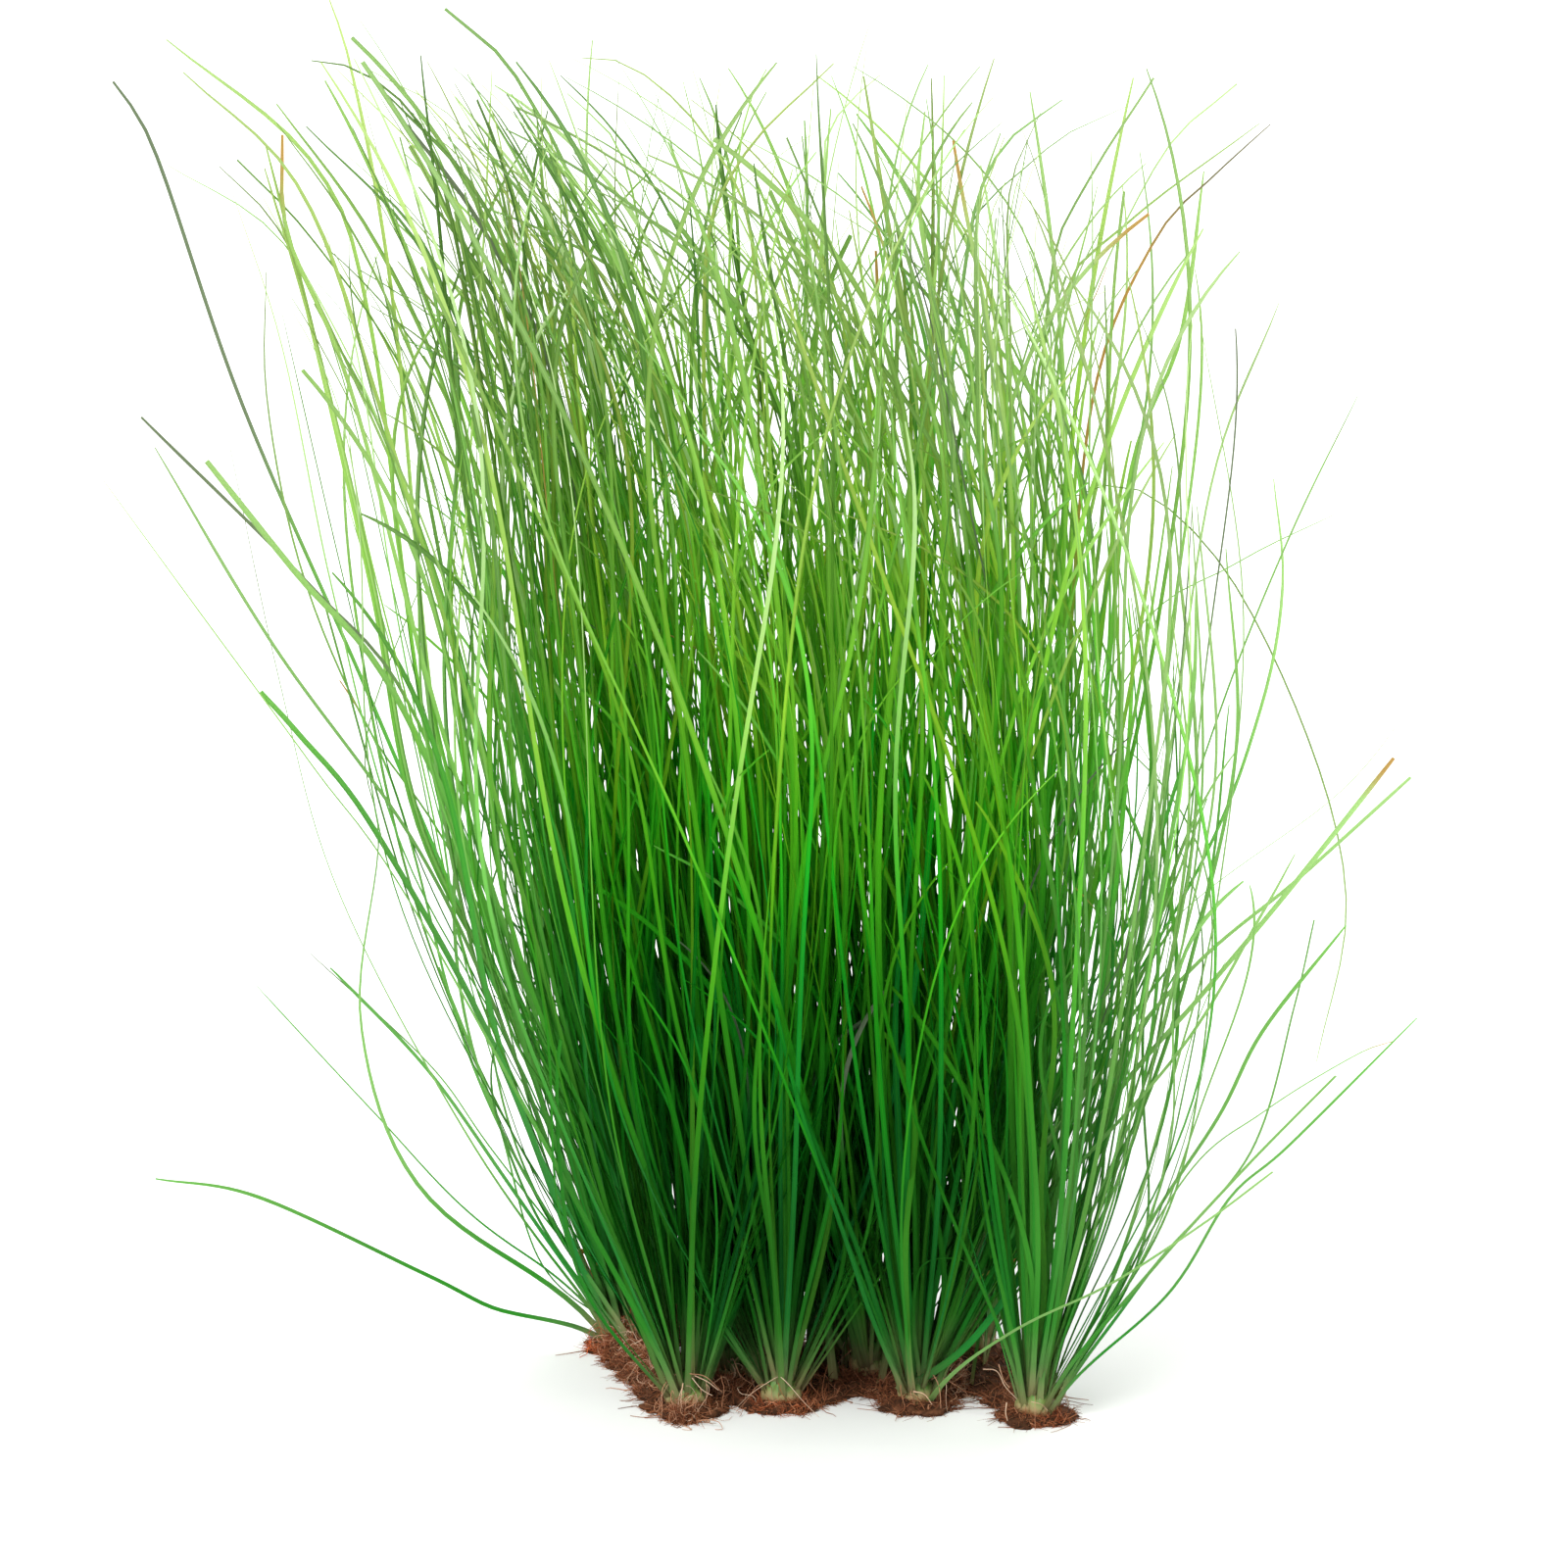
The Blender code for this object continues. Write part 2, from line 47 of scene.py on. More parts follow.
# Crowns: (x, y) of each, and the way its leaves lean as a slope along x and y
CROWNS = {
    1: ((-44.5, 26), (-0.24, 0.08)), 2: ((-33, 39), (-0.15, 0.16)), 3: ((-31, -21), (-0.12, -0.1)),
    4: ((-22, 1), (-0.08, 0.02)), 5: ((-11, -18), (-0.02, -0.12)), 6: ((1, 22), (0, 0.12)),
    7: ((8, 3), (0.02, 0)), 8: ((18, -18), (0.04, -0.1)), 9: ((31, 22), (0.12, 0.1)),
    10: ((43, -27), (0.12, -0.1)),
}
PLACES = {number: np.array([x * MM, y * MM, 0]) for number, ((x, y), _) in CROWNS.items()}
CROWN_TOP = 7.9 * MM
SHEATH_TOP = 13 * MM
SHEATH_RADIUS = 5.6 * MM

# Root mat: one lump under each crown, and a row of lower ones towards each neighbour
LUMP_RADIUS = 9 * MM
LUMP_HEIGHT = 3.8 * MM
LINK_RADIUS = 8.6 * MM
LINK_HEIGHT = 3.4 * MM
LINK_SPACING = 13.5 * MM
LINKS = ((1, 2), (1, 3), (3, 4), (4, 5), (5, 7), (6, 7), (7, 8), (8, 9), (9, 10))

# Tuft leaves: how many grow from each crown, where they start, and their sizes
TUFT_LEAVES = 13
TUFT_RINGS = (0, 0.14, 0.32, 0.54, 0.78, 1)
LEAF_START = CROWN_TOP + GAP + 1.2 * MM
LEAF_LENGTH = (0.266, 0.024)
LEAF_WIDTH = (1.55 * MM, 1.95 * MM)
REACH = ((-0.148, -0.098, 0), (0.116, 0.092, 0.302))
TIP_WIDTH = 0.16
GOLDEN_ANGLE = 137.5
SPREAD = 0.6
LEAN_NOISE = 0.07
DRIFT_NOISE = 0.15
TIP_NOISE = 0.55
SWEEP = (-0.05, 0)
STEPS = 48
CURVE_STEPS = 16

# How a leaf's slope changes along it: the share of its lean that it keeps, then the start and the
# stretch of the fading of the rest, of the drift and of the bend of the tip, and its ripples
GROWN = (0.25, (0, 0.65), (0.15, 0.7), (0.6, 0.4), 1.6)
FANNED = (0.12, (0.12, 0.5), (0.1, 0.6), (0.55, 0.45), 1.9)

# Sides of the dense clump seen from the front: height, left and right in mm
CLUMP_SIDES = (
    (0, -54, 54), (30, -58, 64), (51, -68, 76), (92, -89, 87), (134, -101, 90),
    (175, -112, 92), (216, -118, 85), (258, -110, 80), (300, -106, 80),
)
CLUMP_DEPTH = 0.85

# Outer leaves: heights are given as they look from the front, at this angle from above
LOOK_DOWN = math.radians(14)
FRONT = 25 * MM
OUTER_RINGS = np.linspace(0, 1, 7)
OUTER_START = 8 * MM
OUTER_START_HEIGHT = 8.4 * MM
OUTER_WIDTH = 1.6 * MM

# Crown, the fan of headings at the crown in degrees, then each leaf's guide points, x and height in mm
OUTER_LEAVES = (
    (1, (118, 240), (
        (-73, 54, -87, 73, -113, 97), (-77, 40, -99, 63, -124, 90), (-70, 48, -87, 72, -105, 91, -108, 94),
        (-88, 46, -101, 82, -97, 121, -99, 146, -79, 196), (-70, 20, -87, 28, -123, 45, -145, 49),
        (-78, 58, -105, 110, -117, 154, -129, 214), (-72, 77, -98, 125, -113, 144, -121, 153),
        (-68, 76, -88, 120, -118, 163, -142, 204),
    )),
    (2, (110, 215), (
        (-68, 80, -102, 158, -127, 216, -145, 269, -154, 284),
        (-79, 113, -100, 146, -114, 180, -121, 216, -121, 243), (-82, 121, -98, 230, -110, 265, -141, 291),
        (-79, 113, -93, 237, -101, 283, -106, 299),
    )),
    (3, (150, 250), (
        (-79, 134, -101, 216, -114, 248, -115, 269), (-68, 121, -93, 208, -110, 256, -134, 280),
        (-86, 105, -108, 137, -131, 169, -151, 197),
    )),
    (4, (140, 220), (
        (-60, 71, -88, 147, -110, 175, -146, 211), (-68, 100, -93, 154, -112, 177, -131, 201),
    )),
    (7, (20, 60), (
        (23, 92, 39, 175, 58, 197, 81, 182, 101, 144, 110, 108, 104, 74),
    )),
    (8, (-62, 62), (
        (40, 20, 58, 29, 77, 42, 91, 53), (37, 36, 72, 77, 89, 106, 96, 119),
        (27, 18, 58, 66, 78, 90, 96, 112, 117, 139), (33, 40, 71, 90, 98, 114, 121, 135),
        (27, 32, 41, 65, 71, 104, 106, 131, 122, 150), (39, 51, 76, 113, 90, 148, 95, 175, 93, 198),
        (23, 51, 31, 100, 62, 163, 85, 180, 107, 191),
    )),
    (9, (-50, 80), (
        (48, 133, 54, 212, 67, 247, 80, 261, 91, 271), (44, 154, 48, 232, 61, 251, 90, 273),
        (54, 113, 63, 197, 74, 228, 79, 264),
    )),
    (10, (-75, 75), (
        (62, 26, 72, 38, 88, 56, 104, 73), (70, 26, 83, 47, 95, 58, 121, 85),
        (73, 50, 90, 65, 109, 77, 117, 80), (66, 40, 81, 64, 90, 82, 107, 104),
        (68, 32, 88, 56, 97, 87, 101, 105), (61, 34, 72, 73, 81, 110, 86, 171, 76, 234),
        (47, 30, 62, 88, 81, 148, 96, 186, 110, 215), (52, 40, 70, 134, 80, 198, 94, 235),
    )),
)

# Guided leaves that stay in their tuft, with the heading of each at the crown in degrees
CROWN_LEAVES = (
    (2, 190, (-82, 133, -104, 220, -117, 249, -142, 265)),
    (3, 170, (-60, 134, -80, 254, -95, 279, -108, 283)), (3, 120, (-43, 113, -50, 237, -65, 279, -81, 295)),
    (4, 160, (-50, 113, -60, 237, -76, 279, -98, 294)), (4, 60, (-33, 113, -39, 227, -44, 265, -56, 279)),
    (5, 200, (-12, 113, -16, 237, -25, 266, -41, 282, -52, 284)),
    (5, 120, (-19, 133, -22, 237, -19, 278, -14, 291)), (5, 20, (-23, 133, -27, 237, -20, 265, 0, 286)),
    (6, 30, (10, 134, 23, 237, 44, 267, 62, 277)), (7, 100, (0, 134, -2, 260, 1, 277, 10, 286)),
    (7, 20, (17, 134, 27, 237, 34, 265, 48, 277)), (9, 60, (41, 154, 46, 239, 53, 260, 68, 284)),
    (9, 10, (43, 154, 48, 216, 68, 264, 85, 281)),
)


def ease(t):
    t = np.clip(t, 0, 1)
    return t * t * (3 - 2 * t)


def rise(value, start, over):
    """From 0 at the start to 1 after a stretch."""
    return ease((value - start) / over)


def fall(value, start, over):
    return 1 - rise(value, start, over)


def even(count, **more):
    """Even steps from 0 to 1."""
    return np.linspace(0, 1, count, **more)


def unit(vectors, guard=0):
    """The vectors made one long, with a guard against those of no length."""
    return vectors / (np.linalg.norm(vectors, axis=-1, keepdims=True) + guard)


def level(turn):
    """The level direction at an angle in radians."""
    return np.array([math.cos(turn), math.sin(turn), 0])


def seen_height(points):
    """How high points look from the front."""
    return points[..., 2] * math.cos(LOOK_DOWN) + (points[..., 1] + FRONT) * math.sin(LOOK_DOWN)


def true_height(seen, y):
    return (seen - (y + FRONT) * math.sin(LOOK_DOWN)) / math.cos(LOOK_DOWN)


# Paths of the leaves


def leaf_path(habit, start, length, lean, drift, tip, wave, phase):
    """A leaf that leaves its crown leaning, rights itself and bends over at its tip."""
    kept, fading, drifting, (bend_start, bend_over), ripples = habit
    t = (np.arange(STEPS) + 0.5) / STEPS
    slope = np.outer(kept + (1 - kept) * fall(t, *fading), lean) + np.outer(rise(t, *drifting), drift)
    slope += np.outer(np.clip((t - bend_start) / bend_over, 0, 1) ** 2, tip)
    slope += np.sin(math.tau * t[:, None] * ripples + phase) * rise(t, 0, 0.3)[:, None] * wave
    heading = unit(np.column_stack([slope, np.ones(STEPS)]))
    return start + np.vstack([np.zeros(3), np.cumsum(heading * length / STEPS, axis=0)])


def guided_path(start, points, depth):
    """A smooth leaf through guide points seen from the front, ending at a given depth."""
    flat = np.vstack([(start[0], seen_height(start)), np.reshape(points, (-1, 2)) * MM])
    run = run_along(flat)
    run /= run[-1]
    y = start[1] + (depth - start[1]) * run ** 1.15
    knots = np.column_stack([flat[:, 0], y, true_height(flat[:, 1], y)])
    knots = np.vstack([2 * knots[0] - knots[1], knots, 2 * knots[-1] - knots[-2]])
    curve = []
    for a, b, c, d in zip(knots, knots[1:], knots[2:], knots[3:]):
        for u in even(CURVE_STEPS, endpoint=False):
            curve.append(0.5 * (2 * b + (c - a) * u + (2 * a - 5 * b + 4 * c - d) * u ** 2
                                + (3 * b - a - 3 * c + d) * u ** 3))
    curve.append(knots[-2])
    return evenly(np.array(curve), STEPS + 1)


def guided_from(place, heading, out, up, points, reach, further):
    """A guided leaf that starts beside its crown, and ends a reach further on at the same heading."""
    side = level(math.radians(heading))
    start = place + out * side + (0, 0, up)
    return guided_path(start, points, place[1] + side[1] * reach + further)


def run_along(path):
    """The length of a path up to each of its points."""
    return np.concatenate([[0], np.cumsum(np.linalg.norm(np.diff(path, axis=0), axis=1))])


def at_fractions(path, fractions):
    run = run_along(path)
    want = np.asarray(fractions) * run[-1]
    return np.column_stack([np.interp(want, run, values) for values in path.T])


def evenly(path, count):
    return at_fractions(path, even(count))


def half_widths(fractions, width):
    taper = TIP_WIDTH + (1 - TIP_WIDTH) * (1 - np.asarray(fractions)) ** 0.5
    return 0.5 * width * taper


# Room between the leaves: how close those of one tuft come, what is wide enough to be a post, and
# how low the leaves may hang
CLOSE = 0.1 * MM
POST = 3 * MM
LOWEST = 7.2 * MM


def segment_gaps(starts_a, ends_a, starts_b, ends_b):
    """Shortest distance between every segment of one set and every one of another."""
    d1 = (ends_a - starts_a)[:, None]
    d2 = ends_b - starts_b
    r = starts_a[:, None] - starts_b
    a = np.sum(d1 * d1, axis=2)
    e = np.sum(d2 * d2, axis=1)
    b = np.sum(d1 * d2, axis=2)
    c = np.sum(d1 * r, axis=2)
    f = np.sum(d2 * r, axis=2)
    spread = np.maximum(a * e - b * b, 1e-18)
    s = np.clip((b * f - c * e) / spread, 0, 1)
    t = (b * s + f) / e
    s = np.where(t < 0, np.clip(-c / a, 0, 1), s)
    s = np.where(t > 1, np.clip((b - c) / a, 0, 1), s)
    t = np.clip(t, 0, 1)
    apart = r + d1 * s[..., None] - d2 * t[..., None]
    return np.linalg.norm(apart, axis=2)


class Room:
    """The leaves placed so far: for each segment its ends, radius and tuft, and if it is a foot."""

    def __init__(self):
        self.rows = np.zeros((0, 9))

    def add(self, points, radii, owner):
        widest = np.maximum(radii[:-1], radii[1:])
        foot = np.arange(len(widest)) == 0
        new = [points[:-1], points[1:], widest, np.full(len(widest), owner), foot]
        self.rows = np.vstack([self.rows, np.column_stack(new)])

    def free(self, points, radii, owner):
        """Whether a leaf keeps clear of all others, but for its own tuft's feet, and above the roots."""
        widest = np.maximum(radii[:-1], radii[1:])
        others, owners, feet = self.rows[:, 6:].T
        gaps = segment_gaps(points[:-1], points[1:], self.rows[:, :3], self.rows[:, 3:6])
        own = owners == owner
        need = np.tile(np.where(own, CLOSE, GAP + CLOSE), (len(widest), 1))
        need[:, own & (others > POST)] = -1
        need[0, own & (feet > 0)] = -1
        clear = np.all(gaps - widest[:, None] - others > need)
        return bool(clear) and points[1:, 2].min() >= LOWEST


def within_reach(points):
    return bool(np.all(points > REACH[0]) and np.all(points < REACH[1]))


def within_clump(points):
    """Whether a leaf stays between the sides of the clump and inside its reach."""
    heights, left, right = np.array(CLUMP_SIDES).T * MM
    seen = seen_height(points)
    low, high = np.interp(seen, heights, left), np.interp(seen, heights, right)
    x, y, _ = points.T
    sides = (x > low) & (x < high) & (y > CLUMP_DEPTH * low) & (y < CLUMP_DEPTH * high)
    return bool(np.all(sides)) and within_reach(points)


def sheath_posts(room):
    """Each crown and its sheath keep the other leaves out, as one upright post."""
    for number in CROWNS:
        post = PLACES[number] + np.array([(0, 0, 3 * MM), (0, 0, SHEATH_TOP)])
        room.add(post, np.full(2, SHEATH_RADIUS + 0.2 * MM), number)


def settle(room, owner, fractions, draw, tries=400, patience=60, inside=False):
    """Draws a leaf, ever more loosely, until there is room for it; its path and half-width."""
    for attempt in range(tries):
        path, width = draw(min(attempt, patience) / patience)
        rings, radii = at_fractions(path, fractions), half_widths(fractions, width)
        if (within_clump(path) or not inside) and room.free(rings, radii, owner):
            room.add(rings, radii, owner)
            return path, radii[0]
    raise RuntimeError(f"no room for a leaf of owner {owner}")


def outer_leaves(room, rng):
    """Crown and path of the leaves that stand out from the clump, each a piece of its own."""
    made = []
    for number, fan, leaves in OUTER_LEAVES:
        place = PLACES[number]
        for i, points in enumerate(leaves):
            heading = fan[0] + (fan[1] - fan[0]) * (i / max(len(leaves) - 1, 1))

            def draw(loose):
                turn = heading + rng.normal(0, 3 + 6 * loose)
                reach = len(points) // 2 * 9 * MM + rng.normal(0, (4 + 22 * loose) * MM)
                further = rng.normal(0, (2 + 10 * loose) * MM)
                path = guided_from(place, turn, OUTER_START, OUTER_START_HEIGHT, points, reach, further)
                return path, OUTER_WIDTH

            path, _ = settle(room, 100 + len(made), OUTER_RINGS, draw)
            made.append((number, path))
    return made


def crown_leaves(room, rng):
    """Crown, path and half-width of the guided leaves that grow out of a tuft's sheath."""
    made = []
    for number, heading, points in CROWN_LEAVES:
        place = PLACES[number]

        def draw(loose):
            turn, further = heading + rng.normal(0, 5 + 40 * loose), rng.normal(0, (3 + 20 * loose) * MM)
            path = guided_from(place, turn, 3.4 * MM, LEAF_START, points, 30 * MM, further)
            return path, LEAF_WIDTH[0]

        made.append((number, *settle(room, number, TUFT_RINGS, draw)))
    return made


def tuft_leaves(room, rng):
    """The leaves of every tuft, in a golden-angle spiral that leans out from its middle."""
    made = []
    for number, (_, bias) in CROWNS.items():
        place = PLACES[number]
        for i in range(TUFT_LEAVES):
            out = math.sqrt((i + 0.6) / TUFT_LEAVES)

            def draw(loose):
                turn = GOLDEN_ANGLE * i + 40 * number + rng.normal(0, 8 + 70 * loose)
                side = level(math.radians(turn))
                start = place + 3.9 * MM * out * side + (0, 0, LEAF_START)
                lean = SPREAD * out * side[:2] + bias + rng.normal(0, LEAN_NOISE + 0.1 * loose, 2)
                drift = SWEEP + rng.normal(0, DRIFT_NOISE, 2)
                tip = rng.normal(0, TIP_NOISE, 2) + 4 * place[:2] + (-0.12, 0)
                wave = rng.normal(0, 0.035, 2)
                phase = rng.uniform(0, math.tau, 2)
                length = LEAF_LENGTH[0] + rng.normal(0, LEAF_LENGTH[1])
                length *= 0.62 if rng.random() < 0.1 else 1
                width = rng.uniform(*LEAF_WIDTH)
                return leaf_path(GROWN, start, length, lean, drift, tip, wave, phase), width

            made.append((number, *settle(room, number, TUFT_RINGS, draw, 600, 200, inside=True)))
    return made


def root_lumps():
    """The centre, radius and height of every lump of the root mat."""
    lumps = [(PLACES[number], LUMP_RADIUS, LUMP_HEIGHT) for number in CROWNS]
    for one, other in LINKS:
        start, end = PLACES[one], PLACES[other]
        spans = math.ceil(np.linalg.norm(end - start) / LINK_SPACING)
        for i in range(1, spans):
            lumps.append((start + (end - start) * i / spans, LINK_RADIUS, LINK_HEIGHT))
    return lumps


# Looks of the leaves. The blades follow the paths of the solids, with more of them between

# How many are added to a tuft and in what bunches, how finely a blade is drawn, how much broader
# the solids' own ones are, how far the added ones fan out and how high the tallest looks, with the
# side from which the solids' own are lowered to it, and where the feet are
LOOK_SEED = 7
FILL_LEAVES = 80
BUNCH = 4
BLADE_RINGS = 46
BROADER = 1.3
FAN = 0.7
TALLEST = 0.283
LOWERED_FROM = -25 * MM
OUTER_BLADE_RINGS = 48
FOOT_HEIGHT = 2.2 * MM
SUNK_FOOT = 0.8 * MM
FOOT_OUT = 0.85
OUTER_FOOT_OUT = 0.45

# The blade's section in half-widths: a shallow channel with a keel below
SECTION = np.array([(-1, 0.15), (0, -0.13), (1, 0.15), (0, -0.34)])

# How each kind of leaf differs: tone from dark to light, hue from olive to teal, how pale it is,
# where along it the grey or the dry colour begins and is full, and how blunt its tip is
MIDDLE_TONE = 0.42
NOWHERE = (2, 3)
PLAIN = {"tone": MIDDLE_TONE, "hue": 0, "pale": 0, "grey": NOWHERE, "dry": NOWHERE, "blunt": 0}
KINDS = {
    "plain": {},
    "light": {"tone": 0.8},
    "bright": {"tone": 0.9, "hue": -0.5},
    "dark": {"tone": 0.05, "hue": 0.1},
    "olive": {"tone": 0.4, "hue": -1},
    "teal": {"tone": 0.5, "hue": 0.6},
    "pale": {"tone": 0.75, "pale": 0.8},
    "whitish": {"tone": 0.75, "pale": 0.85},
    "grey": {"tone": 0.45, "grey": (0.55, 1)},
    "dark_tip": {"tone": 0.3, "grey": (0.6, 0.75), "blunt": 0.5},
    "dry_tip": {"tone": 0.6, "hue": -0.3, "dry": (0.93, 0.985), "blunt": 0.5},
    "dry_half": {"tone": 0.55, "hue": -0.6, "dry": (0.5, 0.75), "grey": (0.84, 0.95)},
    "dry": {"tone": 0.5, "dry": (0.05, 0.3)},
    "cut": {"tone": 0.45, "blunt": 0.8},
    "dark_cut": {"tone": 0.12, "hue": 0.2, "blunt": 0.85},
    "pale_cut": {"tone": 0.8, "pale": 0.8, "blunt": 0.7},
}

# Share of each kind among the leaves of the tufts
FILL_SHARES = {
    "plain": 0.36, "light": 0.13, "bright": 0.12, "dark": 0.09, "olive": 0.06, "teal": 0.01, "pale": 0.08,
    "grey": 0.004, "dark_tip": 0.018, "dry_tip": 0.016, "dry_half": 0.002, "cut": 0.11,
}

# Kind of each outer leaf, and its width in mm
OUTER_KINDS = (
    "grey teal plain plain teal grey cut dark dark_tip olive bright bright dry_tip bright light dark_tip "
    "cut olive pale_cut dark dry_tip pale_cut dark pale plain dry_half bright light dark_cut teal dry_tip "
    "plain dark_cut plain dark olive"
).split()
OUTER_WIDTHS = (
    0.6, 0.7, 1.2, 1.2, 1, 0.7, 1.5, 0.9, 1.8, 0.8, 1.1, 1, 1.1, 1.1, 1.3, 1.2, 1.6, 0.8, 1.4, 1.1, 1.5,
    1.9, 0.8, 1, 1.2, 0.8, 0.9, 1.2, 1.4, 0.7, 1, 1.2, 1.3, 1.2, 0.9, 1.1,
)

# Outer leaves, by number, drawn nearer to the front along the line of sight
NEARER = {19: 12 * MM}

# Streams of leaves that run side by side: crown, heading, how many, spread in mm and guide points
STREAMS = (
    (4, 170, 20, 5.5, (-22.8, 50, -33.1, 102, -45.5, 164, -53.8, 216, -66.2, 251, -82.8, 272)),
    (3, 190, 14, 6, (-37.3, 50, -47.6, 102, -58, 164, -63.1, 216, -70, 252, -77, 272)),
    (5, 200, 13, 5.5, (-12.4, 50, -16.6, 102, -22.8, 164, -35.2, 216, -47.6, 247, -60, 266)),
    (7, 80, 10, 6.5, (8.3, 50, 10.4, 102, 8.3, 164, 6.2, 216, 0, 250)),
    (8, 330, 14, 6, (18.6, 50, 26.9, 102, 31, 164, 29, 216, 26.9, 251, 31, 268)),
    (9, 30, 7, 7, (33.1, 50, 47.6, 102, 47.6, 164, 43.5, 216, 51.8, 250)),
    (8, 350, 9, 6, (33.1, 40, 51.8, 76, 68.3, 107, 76, 130)),
    (10, 10, 6, 6, (50, 40, 58, 80, 64, 120, 67, 155, 68, 180)),
    (10, 10, 10, 5, (51, 30, 62.1, 61, 69, 92, 75, 134, 72, 178)),
    (9, 20, 8, 5, (40, 40, 56, 76, 65, 107, 66, 150)),
    (1, 200, 5, 6.5, (-62, 71, -83, 123, -95, 175, -104, 226, -112, 258)),
    (1, 205, 4, 6, (-58, 30, -70, 60, -82, 100, -92, 150)),
    (2, 200, 7, 8, (-50, 71, -64, 123, -78, 175, -91, 216, -107, 250, -124, 268)),
    (3, 200, 4, 7, (-46, 50, -60, 102, -71, 154, -79, 200, -88, 240, -101, 268)),
    (3, 180, 9, 4.5, (-47, 50, -60, 76, -69, 107, -73, 138, -71, 175, -69, 205)),
)

# Single leaves that catch the eye low in the clump: crown, heading, kind, width and guide points
ACCENTS = (
    (1, 150, "dry", 1.3, (-48.4, 27.5, -54.3, 33.3, -51.5, 26.3)),
    (4, 200, "whitish", 0.8, (-21, 22, -25, 26, -33, 27.4, -43.5, 25.9)),
    (8, 30, "dry_half", 1.5, (22, 18, 28, 27, 41, 34, 51, 39)),
    (8, 300, "light", 0.7, (17, 20, 18.6, 31.7, 25.3, 33.7, 29.6, 31.9)),
    (8, 225, "dark", 1.8, (14, 5.8, 18, 7, 29, 15.5, 42, 33)),
    (8, 240, "whitish", 1.3, (8, 55, -5, 92, -23, 112, -37.5, 120.7)),
    (4, 250, "light", 1.2, (-28, 50, -36, 90, -57, 117, -66.6, 124.6)),
    (5, 250, "cut", 1.9, (-14, 50, -22, 84, -35, 101, -49, 112)),
)


class Strands:
    """Blades, hairs or fibres gathered into one mesh, with their attributes and bake cells."""

    names = ("run", "tone", "hue", "pale", "grey", "dry", "across")

    def __init__(self, rows=1):
        self.rows = rows
        self.blocks = []
        self.values = {name: [] for name in self.names}

    def add(self, rings, **values):
        """rings is (strands, rings, sides, 3); each value is spread over strands, rings and sides."""
        self.blocks.append(rings)
        for name, store in self.values.items():
            store.append(np.broadcast_to(values.get(name, 0), rings.shape[:3]).reshape(-1))

    def mesh(self, name):
        """All strands as one mesh, whose bake map has a cell for each strand, in some rows."""
        columns = math.ceil(sum(len(block) for block in self.blocks) / self.rows)
        faces, uvs = [], []

        def put(corners, u, v, strand):
            """Faces by their corners, and where these lie in their strand's own cell."""
            faces.extend(corners.reshape(-1, corners.shape[-1]).tolist())
            u = (strand % columns + 0.03 + 0.94 * u) / columns
            v = (strand // columns + 0.02 + 0.96 * v) / self.rows
            uvs.append(np.stack([u, v], -1).reshape(-1))

        base = first = 0
        for block in self.blocks:
            count, n, sides, _ = block.shape
            strand, ring, side = np.indices((count, n - 1, sides))
            low, after = base + (strand * n + ring) * sides, (side + 1) % sides
            left, right = (side + 0.1) / sides, (side + 0.9) / sides
            below, above = ring / (n - 1), (ring + 1) / (n - 1)
            put(np.stack([low + side, low + after, low + sides + after, low + sides + side], -1),
                np.stack([left, right, right, left], -1), np.stack([below, below, above, above], -1),
                first + strand[..., None])
            strand, side = np.indices((count, sides))
            for ring, order, height in ((0, sides - 1 - side, 0), (n - 1, side, 1)):
                turn = math.tau * order / sides
                put(base + (strand * n + ring) * sides + order,
                    0.5 + 0.3 * np.cos(turn), height + 0.004 * np.sin(turn), first + strand)
            base += count * n * sides
            first += count
        mesh = bpy.data.meshes.new(name)
        mesh.from_pydata(np.concatenate([block.reshape(-1, 3) for block in self.blocks]), [], faces)
        layer = mesh.uv_layers.new(name="OFBake")
        layer.data.foreach_set("uv", np.concatenate(uvs).astype(np.float32))
        for key, store in self.values.items():
            attribute = mesh.attributes.new(key, "FLOAT", "POINT")
            attribute.data.foreach_set("value", np.concatenate(store).astype(np.float32))
        mesh.validate()
        mesh.shade_smooth()
        mesh.set_sharp_from_angle(angle=math.radians(50))
        return mesh


def carried_frames(path, normal):
    """Across and face directions that are carried along a path without turning about it."""
    tangents = unit(np.gradient(path, axis=0))
    face = np.asarray(normal, dtype=float)
    faces = []
    for tangent in tangents:
        face = face - np.dot(face, tangent) * tangent
        face /= np.linalg.norm(face)
        faces.append(face)
    return np.cross(tangents, faces), np.array(faces)


def blade_rings(path, run, width, outward, rng, blunt, twist):
    """A narrow channelled strip that turns on itself, broad at its foot, and tapers to its tip."""
    t = run / run[-1]
    turn = rng.normal(0, 0.2) + rng.normal(0, twist) * rise(run, 10 * MM, 150 * MM)
    across, face = carried_frames(path, outward)
    c, s = np.cos(turn)[:, None], np.sin(turn)[:, None]
    across, face = across * c + face * s, face * c - across * s
    tip = np.clip((1 - t) / (0.05 if blunt else rng.uniform(0.06, 0.22)), 0, 1) ** 0.7
    half = 0.5 * width * (blunt + (1 - blunt) * (0.32 + 0.68 * tip))
    half *= 1 - 0.18 * rise(t, 0, 0.7)
    half += (0.2 * MM + 0.34 * width - half) * np.exp(-run / (45 * MM))
    half += 0.3 * MM * np.exp(-run / (6 * MM))
    half = half[:, None, None]
    return (path[:, None] + across[:, None] * SECTION[:, 0:1] * half
            + face[:, None] * SECTION[:, 1:2] * half)


# The middle of the clump's heart, where painted shade makes it dark and calm, as x and y, and the middle
# and width of a band of painted light and of a band of painted shade along x
HEART = (-0.006, -0.01)
LIT_X = (-0.011, 0.028)
SHADED_BAND_X = (-0.062, 0.014)


